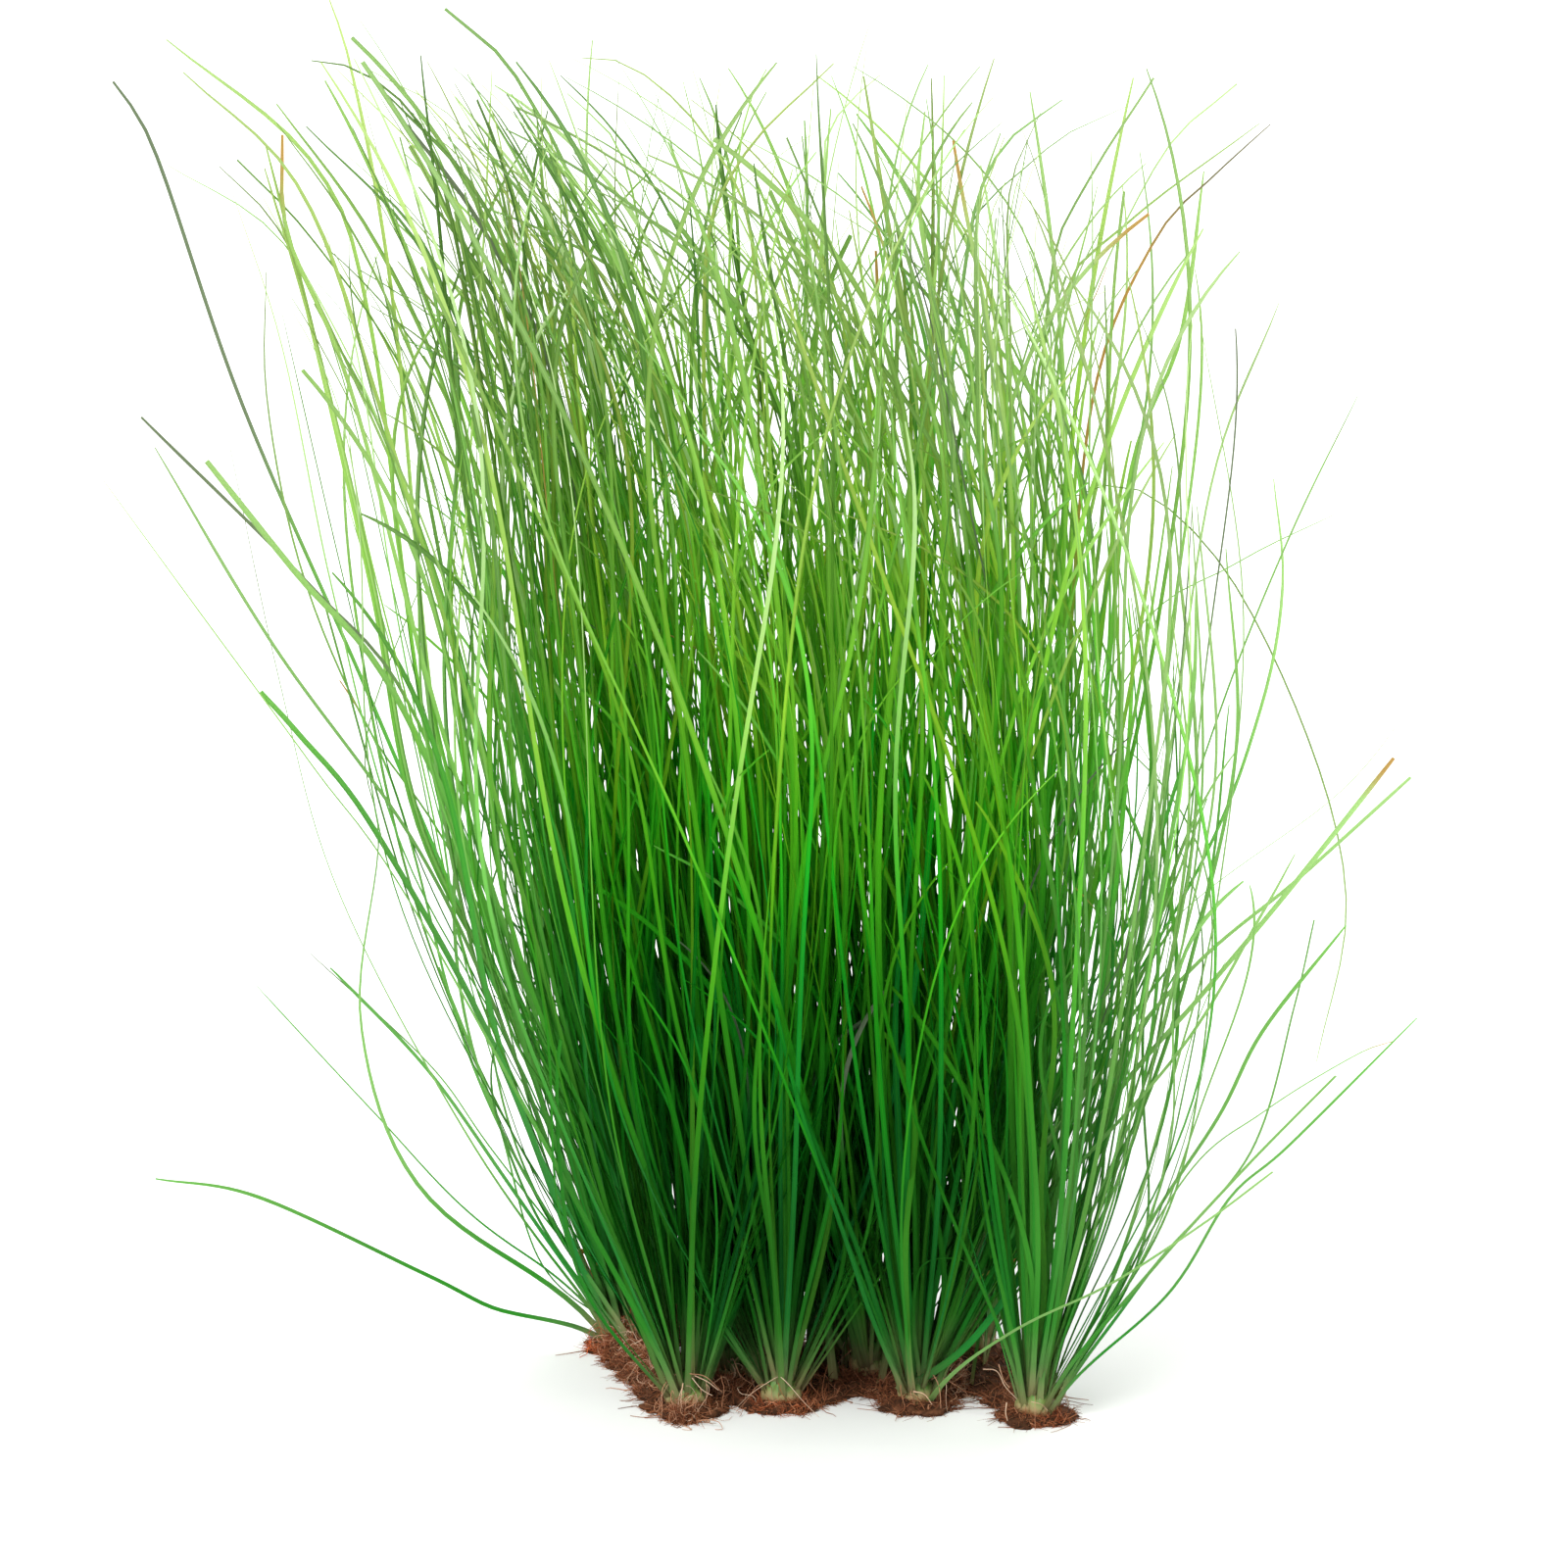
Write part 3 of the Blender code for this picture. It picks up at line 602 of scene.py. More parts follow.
def add_blade(strands, path, width, outward, rng, kind, twist=1, shaded=True):
    """One leaf blade: painted shade makes it dark and calm in the heart of the clump, and painted light
    shining through makes it paler at its open sides.
    """
    look = {**PLAIN, **KINDS[kind]}
    run = run_along(path)
    rings = blade_rings(path, run, width, outward, rng, look["blunt"], twist)
    x, y, z = path.T
    # How deep in the clump's heart and how low a point lies, where shade is painted
    off_x = np.abs((x - HEART[0] + 0.1 * np.maximum(z - 0.05, 0)) / (0.048 + 0.12 * z)) ** 3
    inside = np.exp(-off_x - 0.5 * ((y - HEART[1]) / (0.042 + 0.14 * z)) ** 2)
    above_foot = rise(run, 0, 0.02)
    low = fall(z, 0.05, 0.12) * above_foot
    lit_open_low = fall(z, 0.04, 0.09) * above_foot * (1 - inside)
    shaded_calm = np.maximum(low, inside * fall(z, 0.12, 0.1))
    # Painted light and shade: a lit band, a shaded band, lighter low at the right, darker at the far left
    lit = 0.19 * np.exp(-((x - LIT_X[0]) / LIT_X[1]) ** 2)
    lit = (lit - 0.1 * np.exp(-((x - SHADED_BAND_X[0]) / SHADED_BAND_X[1]) ** 2)) * rise(z, 0.06, 0.05)
    lit = lit + 0.12 * rise(x, 0.018, 0.02) * fall(z, 0.16, 0.05)
    lit = lit - 0.2 * rise(-x, 0.08, 0.02) * (1 - 0.6 * rise(z, 0.16, 0.05))
    # Each leaf's own tone, its spread damped low down and in the painted-shade heart
    own = (look["tone"] - MIDDLE_TONE + rng.normal(0, 0.18)) * (1 - 0.65 * shaded_calm)
    # Painted light at the open low sides of the clump
    tone = MIDDLE_TONE + lit + own + 0.66 * lit_open_low
    # Painted shade, darker low in the heart of the clump
    tone = tone - (0.3 * rise(z, 0.012, 0.03) - 0.08) * low * inside
    # Painted light shining through the blades at the clump's open sides and upper right, which pales them
    backlit_side = (1 - inside) * rise(np.abs(x - HEART[0]), 0.038, 0.035)
    backlit_side = backlit_side * rise(z, 0.01, 0.04) * fall(z, 0.18, 0.08)
    backlit_side = np.maximum(backlit_side, 0.7 * rise(x, 0, 0.05) * rise(z, 0.17, 0.06))
    backlit_side = backlit_side * (1 + 0.5 * rise(x, 0.048, 0.03))
    # The pale kinds' own paleness, kept to the upper parts in the tufts and, for the kind pale, off the
    # shaded heart
    pale = look["pale"] * (rise(z, 0.09, 0.12) if shaded else 1)
    pale = pale * (1 - 0.9 * shaded_calm * (kind == "pale"))
    values = {
        "tone": tone,
        "pale": np.maximum(pale, np.minimum(rng.uniform(0.15, 0.75) * backlit_side, 0.95)),
        "run": run * (1 - rng.uniform(0.1, 0.8) * np.exp(-run / (16 * MM))),
        "hue": look["hue"] * (1 - 0.7 * low) + rng.normal(-0.05, 0.2) + 0.1 * low,
    }
    for name in ("grey", "dry"):
        begin, full = look[name]
        values[name] = rise(run / run[-1], begin, full - begin)
    along = {name: value[:, None] for name, value in values.items()}
    strands.add(rings[None], across=SECTION[:, 0], **along)


def with_foot(path, place, inward, over=18 * MM):
    """The path led down to the crown in one smooth curve, so that the leaf springs from its side."""
    foot = place + (path[0] - place) * (inward, inward, 0) + (0, 0, SUNK_FOOT)
    k = max(int(np.searchsorted(run_along(path), over)), 1)
    reach = np.linalg.norm(path[k] - foot)
    upward = unit((path[k] - foot) / reach + (0, 0, 0.5))
    ahead = unit(path[k + 1] - path[k - 1])
    u = even(8, endpoint=False)[:, None]
    bend = ((2 * u ** 3 - 3 * u ** 2 + 1) * foot + (u ** 3 - 2 * u ** 2 + u) * reach * upward
            + (3 * u ** 2 - 2 * u ** 3) * path[k] + (u ** 3 - u ** 2) * reach * ahead)
    return np.vstack([bend, path[k:]])


# Small side shoots on the bank of roots, in mm, and the crowns whose leaves they share
SHOOTS = {1: (-40.5, 13, 1.5), 3: (-35.5, -2, 1.5)}
# The length with which a leaf is tried, before it is cut to the height that it should have
FILL_LENGTH = 0.27


def fill_leaves(number, rng):
    """More leaves of the same habit between the ones that are solids, in loose bunches."""
    made = []
    place = PLACES[number]
    bias = np.array(CROWNS[number][1])
    outer = place[:2] / 0.05
    shoot = SHOOTS.get(number)
    tries = 0
    while len(made) < FILL_LEAVES:
        if tries % BUNCH == 0:
            turn = rng.uniform(0, math.tau)
            out = math.sqrt(rng.random())
            shared = rng.normal(0, 1, 4)
            phase = rng.uniform(0, math.tau, 2)
            foot = np.array(shoot) * MM if shoot and rng.random() < 0.4 else place
        tries += 1
        side = out * level(turn)[:2] + rng.normal(0, 0.07, 2)
        lean = FAN * side * (1 - 0.45 * (side * outer < 0) * np.abs(outer)) + 0.5 * bias + 0.12 * outer
        drift = 0.15 * shared[0:2] + rng.normal(0, 0.08, 2) + (-0.05, 0)
        start = foot + np.array([*(3.6 * MM * side), FOOT_HEIGHT + 3.5 * MM * (1 - out)])
        tip = 0.5 * shared[2:4] + rng.normal(0, 0.5, 2) * rng.choice((0.6, 1.8))
        tip = tip + 4 * place[:2] + (-0.3, 0)
        course = (lean, drift, tip, rng.normal(0, 0.05, 2), phase)
        top = min(0.257 + rng.normal(0, 0.019), TALLEST)
        top *= rng.uniform(0.3, 0.9) if rng.random() < 0.57 else 1
        highest = seen_height(leaf_path(FANNED, start, FILL_LENGTH, *course)).max()
        length = FILL_LENGTH * np.clip((top - start[2]) / (highest - start[2]), 0.3, 1.3)
        path = leaf_path(FANNED, start, length, *course)
        x, _, z = path.T
        crowded = (x > 0.077 - 0.11 * z) & (z > 0.165) | (x < -0.074) & (z > 0.09) & (z < 0.165)
        if within_clump(path) and not (crowded.any() and rng.random() < 0.75):
            width = rng.uniform(0.5, 0.8) if rng.random() < 0.3 else rng.uniform(0.85, 1.5)
            made.append((path, width * MM))
    return made


# The tufts that also hold broad leaves of the clump's heart, and the depth behind which these are bright
# with painted light, those in front being dark with painted shade
BACKING = (2, 4, 6, 7, 9)
BACKING_LEAVES = 20
BACKLIT_FROM = 0.016


def backing_leaves(rng):
    """Broad leaves in the heart of the clump, which close it: dark with painted shade in front, and bright
    with painted light behind.
    """
    made = []
    while len(made) < BACKING_LEAVES:
        x, y = rng.uniform(-0.04, 0.036), rng.uniform(-0.008, 0.03)
        lean = np.array([3.5 * (x + 0.004), rng.normal(0, 0.1)]) + rng.normal(0, 0.1, 2)
        drift = rng.normal(0, 0.08, 2) + (-0.08, 0)
        length, tip = rng.uniform(0.11, 0.21), rng.normal(0, 0.3, 2)
        path = leaf_path(FANNED, np.array([x, y, SUNK_FOOT]), length, lean, drift, tip, (0.02, 0.02), (0, 1))
        # Painted light on those behind, painted shade on those in front
        made.append((path, rng.uniform(1.3, 1.8) * MM, "bright" if y > BACKLIT_FROM else "dark"))
    return made


def stream_leaves(number, rng):
    """Leaves that run side by side along a stream's guide points, spreading as they rise."""
    made = []
    place = PLACES[number]
    for who, heading, count, spread, points in STREAMS:
        if who != number:
            continue
        points = np.reshape(points, (-1, 2))
        apart = np.linspace(0.35, 1.5, len(points))[:, None]
        for i in range(count):
            turn, out = heading + rng.normal(0, 35), rng.uniform(0.6, 2.4) * MM
            across = rng.normal(0, spread)
            own = points + apart * (across, 0) + rng.normal(0, 1.2, points.shape)
            own = own[:len(own) - (rng.random() < 0.25)] + (0, rng.normal(0, 4))
            own[-1] += (own[-1] - own[-2]) * rng.uniform(-0.4, 0.3)
            own[:, 1] *= min(1, TALLEST / MM / own[:, 1].max())
            reach, further = rng.uniform(5, 30) * MM, rng.normal(0, 12 * MM)
            path = guided_from(place, turn, out, FOOT_HEIGHT + 1.5 * MM, own, reach, further)
            if within_reach(path):
                made.append((path, rng.uniform(0.75, 1.35) * MM))
    return made


# Materials


class Tree:
    """A material's nodes, with short calls for the ones used here."""

    def __init__(self, name):
        self.material = bpy.data.materials.new(name)
        self.material.use_nodes = True
        self.tree = self.material.node_tree
        self.shader = self.tree.nodes["Principled BSDF"]

    def put(self, values, node):
        """Sets a node's inputs, each by its name or number, to a value or to another node's output."""
        for key, value in values.items():
            socket = node.inputs[key]
            if isinstance(value, bpy.types.NodeSocket):
                self.tree.links.new(value, socket)
            elif isinstance(value, tuple) and len(socket.default_value) == 4:
                socket.default_value = (*value, 1)
            else:
                socket.default_value = value

    def node(self, kind, inputs, **settings):
        node = self.tree.nodes.new("ShaderNode" + kind)
        for name, value in settings.items():
            setattr(node, name, value)
        self.put(inputs, node)
        return node

    def attribute(self, name):
        return self.node("Attribute", {}, attribute_name=name).outputs["Fac"]

    def sum(self, operation, *values):
        return self.node("Math", dict(enumerate(values)), operation=operation).outputs[0]

    def spread(self, value, low, high, out_low=0, out_high=1):
        inputs = {"Value": value, "From Min": low, "From Max": high, "To Min": out_low, "To Max": out_high}
        return self.node("MapRange", inputs, interpolation_type="SMOOTHSTEP").outputs["Result"]

    def ramp(self, value, stops):
        node = self.node("ValToRGB", {"Fac": value})
        elements = node.color_ramp.elements
        for element, (position, colour) in zip(elements, (stops[0], stops[-1])):
            element.position, element.color = position, (*colour, 1)
        for position, colour in stops[1:-1]:
            elements.new(position).color = (*colour, 1)
        return node.outputs["Color"]

    def mix(self, factor, one, two):
        """Two colours mixed; a mix node has its colours at inputs 6 and 7 and at output 2."""
        return self.node("Mix", {0: factor, 6: one, 7: two}, data_type="RGBA").outputs[2]

    def noise(self, scale, detail=3, vector=None):
        vector = vector or self.node("TexCoord", {}).outputs["Object"]
        inputs = {"Scale": scale, "Detail": detail, "Vector": vector}
        return self.node("TexNoise", inputs).outputs["Fac"]

    def surface(self, colour, roughness, specular, height=None, distance=0, strength=1):
        """The look of the surface, with bumps where a height is given."""
        self.put({"Base Color": colour, "Roughness": roughness, "Specular IOR Level": specular}, self.shader)
        if height is not None:
            bump = self.node("Bump", {"Strength": strength, "Distance": distance, "Height": height})
            self.put({"Normal": bump.outputs["Normal"]}, self.shader)


# Colours of a leaf along its run: how far, the dark green and the light green there. These are partly the
# leaf's own colours, with cream at the foot, and partly painted: the deep greens low down hold painted
# shade of the clump, and the brighter greens towards the tips painted light shining through them.
LEAF_FULL_RUN = 0.3
GREENS = (
    (0, (0.27, 0.2, 0.09), (0.48, 0.4, 0.2)), (0.01, (0.17, 0.2, 0.06), (0.36, 0.44, 0.19)),
    (0.022, (0.06, 0.16, 0.025), (0.16, 0.38, 0.1)), (0.06, (0.006, 0.095, 0.003), (0.045, 0.34, 0.034)),
    (0.2, (0.001, 0.098, 0.001), (0.032, 0.31, 0.02)), (0.33, (0.001, 0.145, 0.001), (0.04, 0.38, 0.012)),
    (0.45, (0.01, 0.24, 0.002), (0.1, 0.58, 0.016)), (0.6, (0.05, 0.25, 0.01), (0.28, 0.65, 0.05)),
    (0.78, (0.08, 0.22, 0.03), (0.36, 0.6, 0.14)), (1, (0.13, 0.27, 0.07), (0.5, 0.7, 0.3)),
)
# Pale greens: the own colour of the pale kinds, and painted light through the blades at the open sides
PALE_AND_BACKLIT_GREENS = ((0.35, (0.36, 0.59, 0.21)), (0.8, (0.58, 0.73, 0.4)))
EDGE_GREEN = (0.006, 0.07, 0.004)
DRY_BROWN = (0.52, 0.31, 0.09)
DULL_GREY = (0.18, 0.21, 0.15)


def leaf_material():
    """Green by run, tone and hue, with a rib and edges, pale, dry and grey parts, and lit through; the
    greens and the pale parts also carry painted shade and painted light.
    """
    t = Tree("leaf_blade")
    run, across = t.attribute("run"), t.attribute("across")
    along = t.sum("DIVIDE", run, LEAF_FULL_RUN)
    dark = t.ramp(along, [(at, colour) for at, colour, _ in GREENS])
    light = t.ramp(along, [(at, colour) for at, _, colour in GREENS])
    patch = t.spread(t.noise(26), 0.3, 0.7, -0.14, 0.14)
    # The tone holds each leaf's own lightness and the painted shade and painted light that add_blade puts in
    # it
    colour = t.mix(t.sum("ADD", t.attribute("tone"), patch), dark, light)
    hue = t.spread(t.attribute("hue"), -1.5, 1.5, 0.455, 0.545)
    colour = t.node("HueSaturation", {"Color": colour, "Hue": hue}).outputs["Color"]
    from_middle = t.sum("ABSOLUTE", across)
    colour = t.mix(t.spread(from_middle, 0, 0.3, 0.35, 0), colour, light)
    colour = t.mix(t.spread(from_middle, 0.75, 1, 0, 0.25), colour, EDGE_GREEN)
    # Pale parts: the pale kinds' own colour, and painted light shining through at the clump's open sides
    colour = t.mix(t.attribute("pale"), colour, t.ramp(along, PALE_AND_BACKLIT_GREENS))
    colour = t.mix(t.sum("MULTIPLY", t.attribute("dry"), 0.9), colour, DRY_BROWN)
    colour = t.mix(t.sum("MULTIPLY", t.attribute("grey"), 0.8), colour, DULL_GREY)
    stripes = {"X": t.sum("MULTIPLY", across, 5), "Y": t.sum("MULTIPLY", run, 50)}
    stripes = t.node("CombineXYZ", stripes).outputs["Vector"]
    t.surface(colour, 0.45, 0.04, t.noise(1, 2, stripes), 0.00008, 0.6)
    lifted = t.node("HueSaturation", {"Color": colour, "Value": 1.3}).outputs["Color"]
    through = t.node("BsdfTranslucent", {"Color": lifted}).outputs["BSDF"]
    mixed = t.node("MixShader", {0: 0.4, 1: t.shader.outputs["BSDF"], 2: through}).outputs["Shader"]
    t.put({"Surface": mixed}, t.tree.nodes["Material Output"])
    return t.material


def crown_material():
    t = Tree("crown_flesh")
    stain = t.noise(330, 4)
    height = t.sum("ADD", t.attribute("run"), t.spread(stain, 0.2, 0.8, -0.12, 0.12))
    flesh = t.ramp(height, (
        (0, (0.12, 0.035, 0.012)), (0.12, (0.24, 0.1, 0.04)), (0.26, (0.33, 0.24, 0.11)),
        (0.42, (0.26, 0.28, 0.1)), (0.62, (0.11, 0.24, 0.04)), (1, (0.03, 0.15, 0.012)),
    ))
    flesh = t.mix(t.sum("MULTIPLY", t.attribute("across"), 0.55), flesh, (0.22, 0.2, 0.07))
    t.surface(flesh, 0.5, 0.3, stain, 0.0002, 0.5)
    under = {"Weight": 0.15, "Radius": (0.002, 0.0015, 0.0008), "Scale": 1}
    t.put({f"Subsurface {name}": value for name, value in under.items()}, t.shader)
    return t.material


def root_material():
    t = Tree("root_fibre")
    colour = t.ramp(t.attribute("tone"), (
        (0, (0.045, 0.013, 0.005)), (0.35, (0.16, 0.05, 0.018)), (0.65, (0.32, 0.12, 0.05)),
        (0.88, (0.5, 0.26, 0.15)), (1, (0.72, 0.53, 0.38)),
    ))
    colour = t.mix(t.spread(t.noise(160), 0.4, 0.7, 0, 0.45), colour, (0.12, 0.032, 0.014))
    colour = t.mix(t.attribute("dry"), colour, (0.7, 0.13, 0.03))
    t.surface(colour, 0.75, 0.2, t.noise(1500, 4), 0.0002, 0.8)
    return t.material


def mat_material():
    t = Tree("root_mat_earth")
    grain = t.noise(420, 6)
    stops = ((0.25, (0.014, 0.006, 0.003)), (0.5, (0.06, 0.023, 0.01)), (0.75, (0.17, 0.065, 0.03)))
    t.surface(t.ramp(grain, stops), 0.85, 0.15, grain, 0.0006, 0.9)
    return t.material


def floor_material():
    t = Tree("floor_pale")
    t.surface(t.ramp(t.noise(35, 2), ((0.3, (0.85, 0.85, 0.84)), (0.7, (0.87, 0.87, 0.86)))), 0.9, 0.1)
    return t.material


# Crowns and roots

# The bulb of a crown: how far up it, and its radius in mm there
BULB_HEIGHTS = (0, 0.1, 0.28, 0.48, 0.74, 1)
BULB_RADII = (3, 4.2, 4.4, 3.9, 2.6, 1.2)
BULB_BOTTOM = 0.4 * MM
BULB_TOP = 8.6 * MM
BULB_SEGMENTS = 54
BULB_RINGS = 20


def crown_strand(number, rng):
    """A ribbed bulb: the pale feet of the leaves folded round the crown."""
    place = PLACES[number]
    ribs = int(rng.integers(9, 13))
    shift = rng.uniform(0, math.tau)
    z = np.linspace(BULB_BOTTOM, BULB_TOP, BULB_RINGS)
    s = (z - z[0]) / (z[-1] - z[0])
    radius = np.interp(s, BULB_HEIGHTS, BULB_RADII) * MM
    angle = math.tau * np.arange(BULB_SEGMENTS) / BULB_SEGMENTS
    wave = np.abs(np.sin(0.5 * ribs * angle + shift + 1.2 * s[:, None]))
    r = radius[:, None] * (1 - 0.11 * (1 - wave) ** 3) * (1 + 0.05 * np.sin(3 * angle + shift))
    points = np.stack([place[0] + r * np.cos(angle), place[1] + r * np.sin(angle),
                       np.broadcast_to(z[:, None], r.shape)], axis=-1)
    strands = Strands()
    strands.add(points[None], run=s[:, None], across=(1 - wave) ** 4)
    return strands


# The roots as they look: where the mat is open to the eye, how far the solid's lumps are drawn in,
# a bank of small lumps at the left with one at the right, as x, y, radius and height in mm, and low
# ones of one radius that close the middle
OPEN_FRONT = 5 * MM
OPEN_LEFT = -35 * MM
MAT_WIDTH = 0.93
MAT_RISE = 0.58
SKIN_VOXEL = 0.6 * MM
BANK = (
    (-44.5, 19, 4.6, 5.5), (-41, 11, 4.6, 6.5), (-38, 2, 4.4, 6), (-35, -8, 4, 5.2), (-32.5, -17, 3.4, 4.2),
    (24.5, -8, 4, 4.6), (-22, -13, 4, 3.6), (-31.5, -29, 3, 2.6),
)
FILLING_RADIUS = 8
FILLING = (
    (-2, -7, 2.4), (-9, 4, 2.2), (-12, 19, 2.2), (-24, 20, 2.2), (-14, 31, 2), (12, 14, 2.2), (22, 5, 2.2),
    (33, -3, 2.2), (17, 24, 2),
)


def mat_lumps():
    lumps = [(centre, radius * MAT_WIDTH, height * MAT_RISE) for centre, radius, height in root_lumps()]
    more = BANK + tuple((x, y, FILLING_RADIUS, height) for x, y, height in FILLING)
    return lumps + [(np.array([x, y, 0]) * MM, radius * MM, height * MM) for x, y, radius, height in more]


def mat_mesh():
    """The lumps of roots grown together: one closed skin, knotted and flat below."""
    bm = bmesh.new()
    for centre, radius, height in mat_lumps():
        made = bmesh.ops.create_icosphere(bm, subdivisions=4, radius=1)
        for vert in made["verts"]:
            where = vert.co * 1.7 + Vector(centre) / LUMP_RADIUS
            knot = 1 + 0.34 * noise.noise(where) + 0.2 * noise.noise(where * 2.6)
            vert.co = Vector((centre[0] + vert.co.x * radius * knot, centre[1] + vert.co.y * radius * knot,
                              vert.co.z * height * min(knot, 1.04)))
    mesh = bpy.data.meshes.new("root_lumps")
    bm.to_mesh(mesh)
    bm.free()
    lumps = new_object("root_lumps", mesh)
    skin = lumps.modifiers.new("one skin", "REMESH")
    skin.mode = "VOXEL"
    skin.voxel_size = SKIN_VOXEL
    graph = bpy.context.evaluated_depsgraph_get()
    whole = bpy.data.meshes.new_from_object(lumps.evaluated_get(graph))
    bpy.data.objects.remove(lumps, do_unlink=True)
    bpy.data.meshes.remove(mesh)
    bm = bmesh.new()
    bm.from_mesh(whole)
    for vert in bm.verts:
        rough = 1.1 * noise.noise(vert.co * 170) + 0.8 * noise.noise(vert.co * 480)
        vert.co += vert.normal * 0.9 * MM * (rough + 0.4 * noise.noise(vert.co * 1200))
        vert.co.z = max(vert.co.z, 0.02 * MM)
    bm.to_mesh(whole)
    bm.free()
    whole.name = "root_mat_skin"
    whole.shade_smooth()
    return whole


def tubes(paths, radii, sides, lowest=0, highest=1):
    """Round rings along many paths at once, kept within some heights: (strands, rings, sides, 3)."""
    paths[..., 2] = np.clip(paths[..., 2], lowest, highest)
    tangents = unit(np.gradient(paths, axis=1), 1e-12)
    across = unit(np.cross(tangents, (0.31, 0.22, 0.93)), 1e-12)
    face = np.cross(across, tangents)
    turn = (math.tau * np.arange(sides) / sides)[:, None]
    around = across[:, :, None] * np.cos(turn) + face[:, :, None] * np.sin(turn)
    rings = paths[:, :, None] + radii[:, :, None, None] * around
    rings[..., 2] = np.maximum(rings[..., 2], 0)
    return rings


def tapers(rng, thin, thick, count, ends, rings):
    """Radii along each of many roots, from a thin to a thick one in mm, tapering by its ends."""
    return rng.uniform(thin * MM, thick * MM, count)[:, None] * np.linspace(*ends, rings)


def on_lumps(lumps, each, rng):
    """Points and outward directions over the open outside of some lumps, fewer out of sight."""
    points, normals = [], []
    everyone = mat_lumps()
    for centre, radius, height in lumps:
        open_side = centre[1] < OPEN_FRONT or centre[0] < OPEN_LEFT
        share = each if open_side and radius != FILLING_RADIUS * MM else each // 5
        turn = rng.uniform(0, math.tau, share)
        tilt = 1.45 * rng.random(share) ** 1.3
        way = np.column_stack([np.cos(tilt) * np.cos(turn), np.cos(tilt) * np.sin(turn), np.sin(tilt)])
        point = np.asarray(centre) + way * (radius, radius, height) * 0.97
        keep = np.ones(share, dtype=bool)
        for other, wide, high in everyone:
            keep &= np.sum(((point - other) / (wide, wide, high)) ** 2, axis=1) > 0.9
        points.append(point[keep])
        normals.append(unit(way / (radius, radius, height))[keep])
    return np.vstack(points), np.vstack(normals)


# Places on the mat that differ: x, y and radius in mm, how much lighter and how much more orange
ROOT_PATCHES = (
    (-53, 24, 7, 0.2, 1), (-11, -26, 8, 0.1, 0.45), (25, -4, 9, 0.4, 0), (-38, 0, 12, 0.2, 0.1),
    (47, -35, 7, 0, 0.3),
)


def root_shade(points, rng):
    """How light and how orange the roots are at some points."""
    light = 0.12 + 0.55 * rng.random(len(points)) ** 1.2
    orange = np.zeros(len(points))
    for x, y, radius, lighter, redder in ROOT_PATCHES:
        near = np.exp(-np.sum((points[:, :2] / MM - (x, y)) ** 2, axis=1) / radius ** 2)
        light += lighter * near
        orange += redder * near * rng.random(len(points))
    return np.clip(light, 0, 1)[:, None, None], np.clip(orange, 0, 1)[:, None, None]


# How many of each grow on a lump or a crown, and how many rings each has
HAIRS, HAIR_RINGS = 1000, 3
FIBRES, FIBRE_RINGS = 70, 8
ROOTLETS, ROOTLET_RINGS = 7, 16
TANGLE, TANGLE_RINGS = 60, 14


def add_hairs(strands, lumps, rng):
    """Fine short hairs that stand out of the roots all round."""
    start, normal = on_lumps(lumps, HAIRS, rng)
    n = len(start)
    heading = unit(normal + rng.normal(0, 0.75, (n, 3)))
    length = rng.uniform(0.6 * MM, 2 * MM, n) * rng.choice((1, 1.7), n, p=(0.85, 0.15))
    curl = rng.normal(0, 0.5, (n, 3)) + (0, 0, -0.3)
    s = even(HAIR_RINGS)[:, None]
    paths = start[:, None] + length[:, None, None] * (heading[:, None] * s + curl[:, None] * s ** 2)
    radii = tapers(rng, 0.05, 0.1, n, (1, 0.4), HAIR_RINGS)
    light, orange = root_shade(start, rng)
    strands.add(tubes(paths, radii, 3, 0.1 * MM), tone=light + 0.15 * s, dry=orange)


def add_fibres(strands, lumps, rng):
    """Longer roots that wander over the mat's surface and out at its foot."""
    start, normal = on_lumps(lumps, FIBRES, rng)
    n = len(start)
    flat = unit(np.cross(normal, rng.normal(0, 1, (n, 3))))
    length = rng.uniform(2 * MM, 6.5 * MM, n)
    s = even(FIBRE_RINGS)[:, None]
    bend = rng.normal(0, 0.5, (n, 3)) - 0.45 * normal + (0, 0, -0.25)
    sway = rng.normal(0, 0.1, (n, 3))
    paths = start[:, None] + length[:, None, None] * (
        (flat + 0.3 * normal)[:, None] * s + bend[:, None] * s ** 2
        + sway[:, None] * np.sin(s * 9 + rng.uniform(0, 6, n)[:, None, None]))
    radii = tapers(rng, 0.08, 0.17, n, (1, 0.45), FIBRE_RINGS)
    light, orange = root_shade(start, rng)
    strands.add(tubes(paths, radii, 3, 0.18 * MM), tone=light + 0.15, dry=orange)


def add_rootlets(strands, number, rng):
    """Pale young roots that arch out of a crown over the leaf feet and down to the mat."""
    place = PLACES[number]
    s = even(ROOTLET_RINGS)

    def some(low, high):
        return rng.uniform(low, high, ROOTLETS)[:, None]

    turn = some(0, math.tau) + rng.normal(0, 0.7, ROOTLETS)[:, None] * s
    wide = 3.2 * MM + some(3 * MM, 9 * MM) * s
    wide = wide + 0.5 * MM * np.sin(s * 8 + some(0, 6))
    high = some(3.5 * MM, 7 * MM) * (1 - s ** 1.6)
    high = high + some(0.5 * MM, 3.5 * MM) * np.sin(math.pi * s ** 0.8) + 0.25 * MM
    paths = np.stack([place[0] + wide * np.cos(turn), place[1] + wide * np.sin(turn), high], axis=-1)
    radii = tapers(rng, 0.07, 0.12, ROOTLETS, (1, 0.5), ROOTLET_RINGS)
    strands.add(tubes(paths, radii, 5, -1), tone=some(0.75, 1)[..., None])


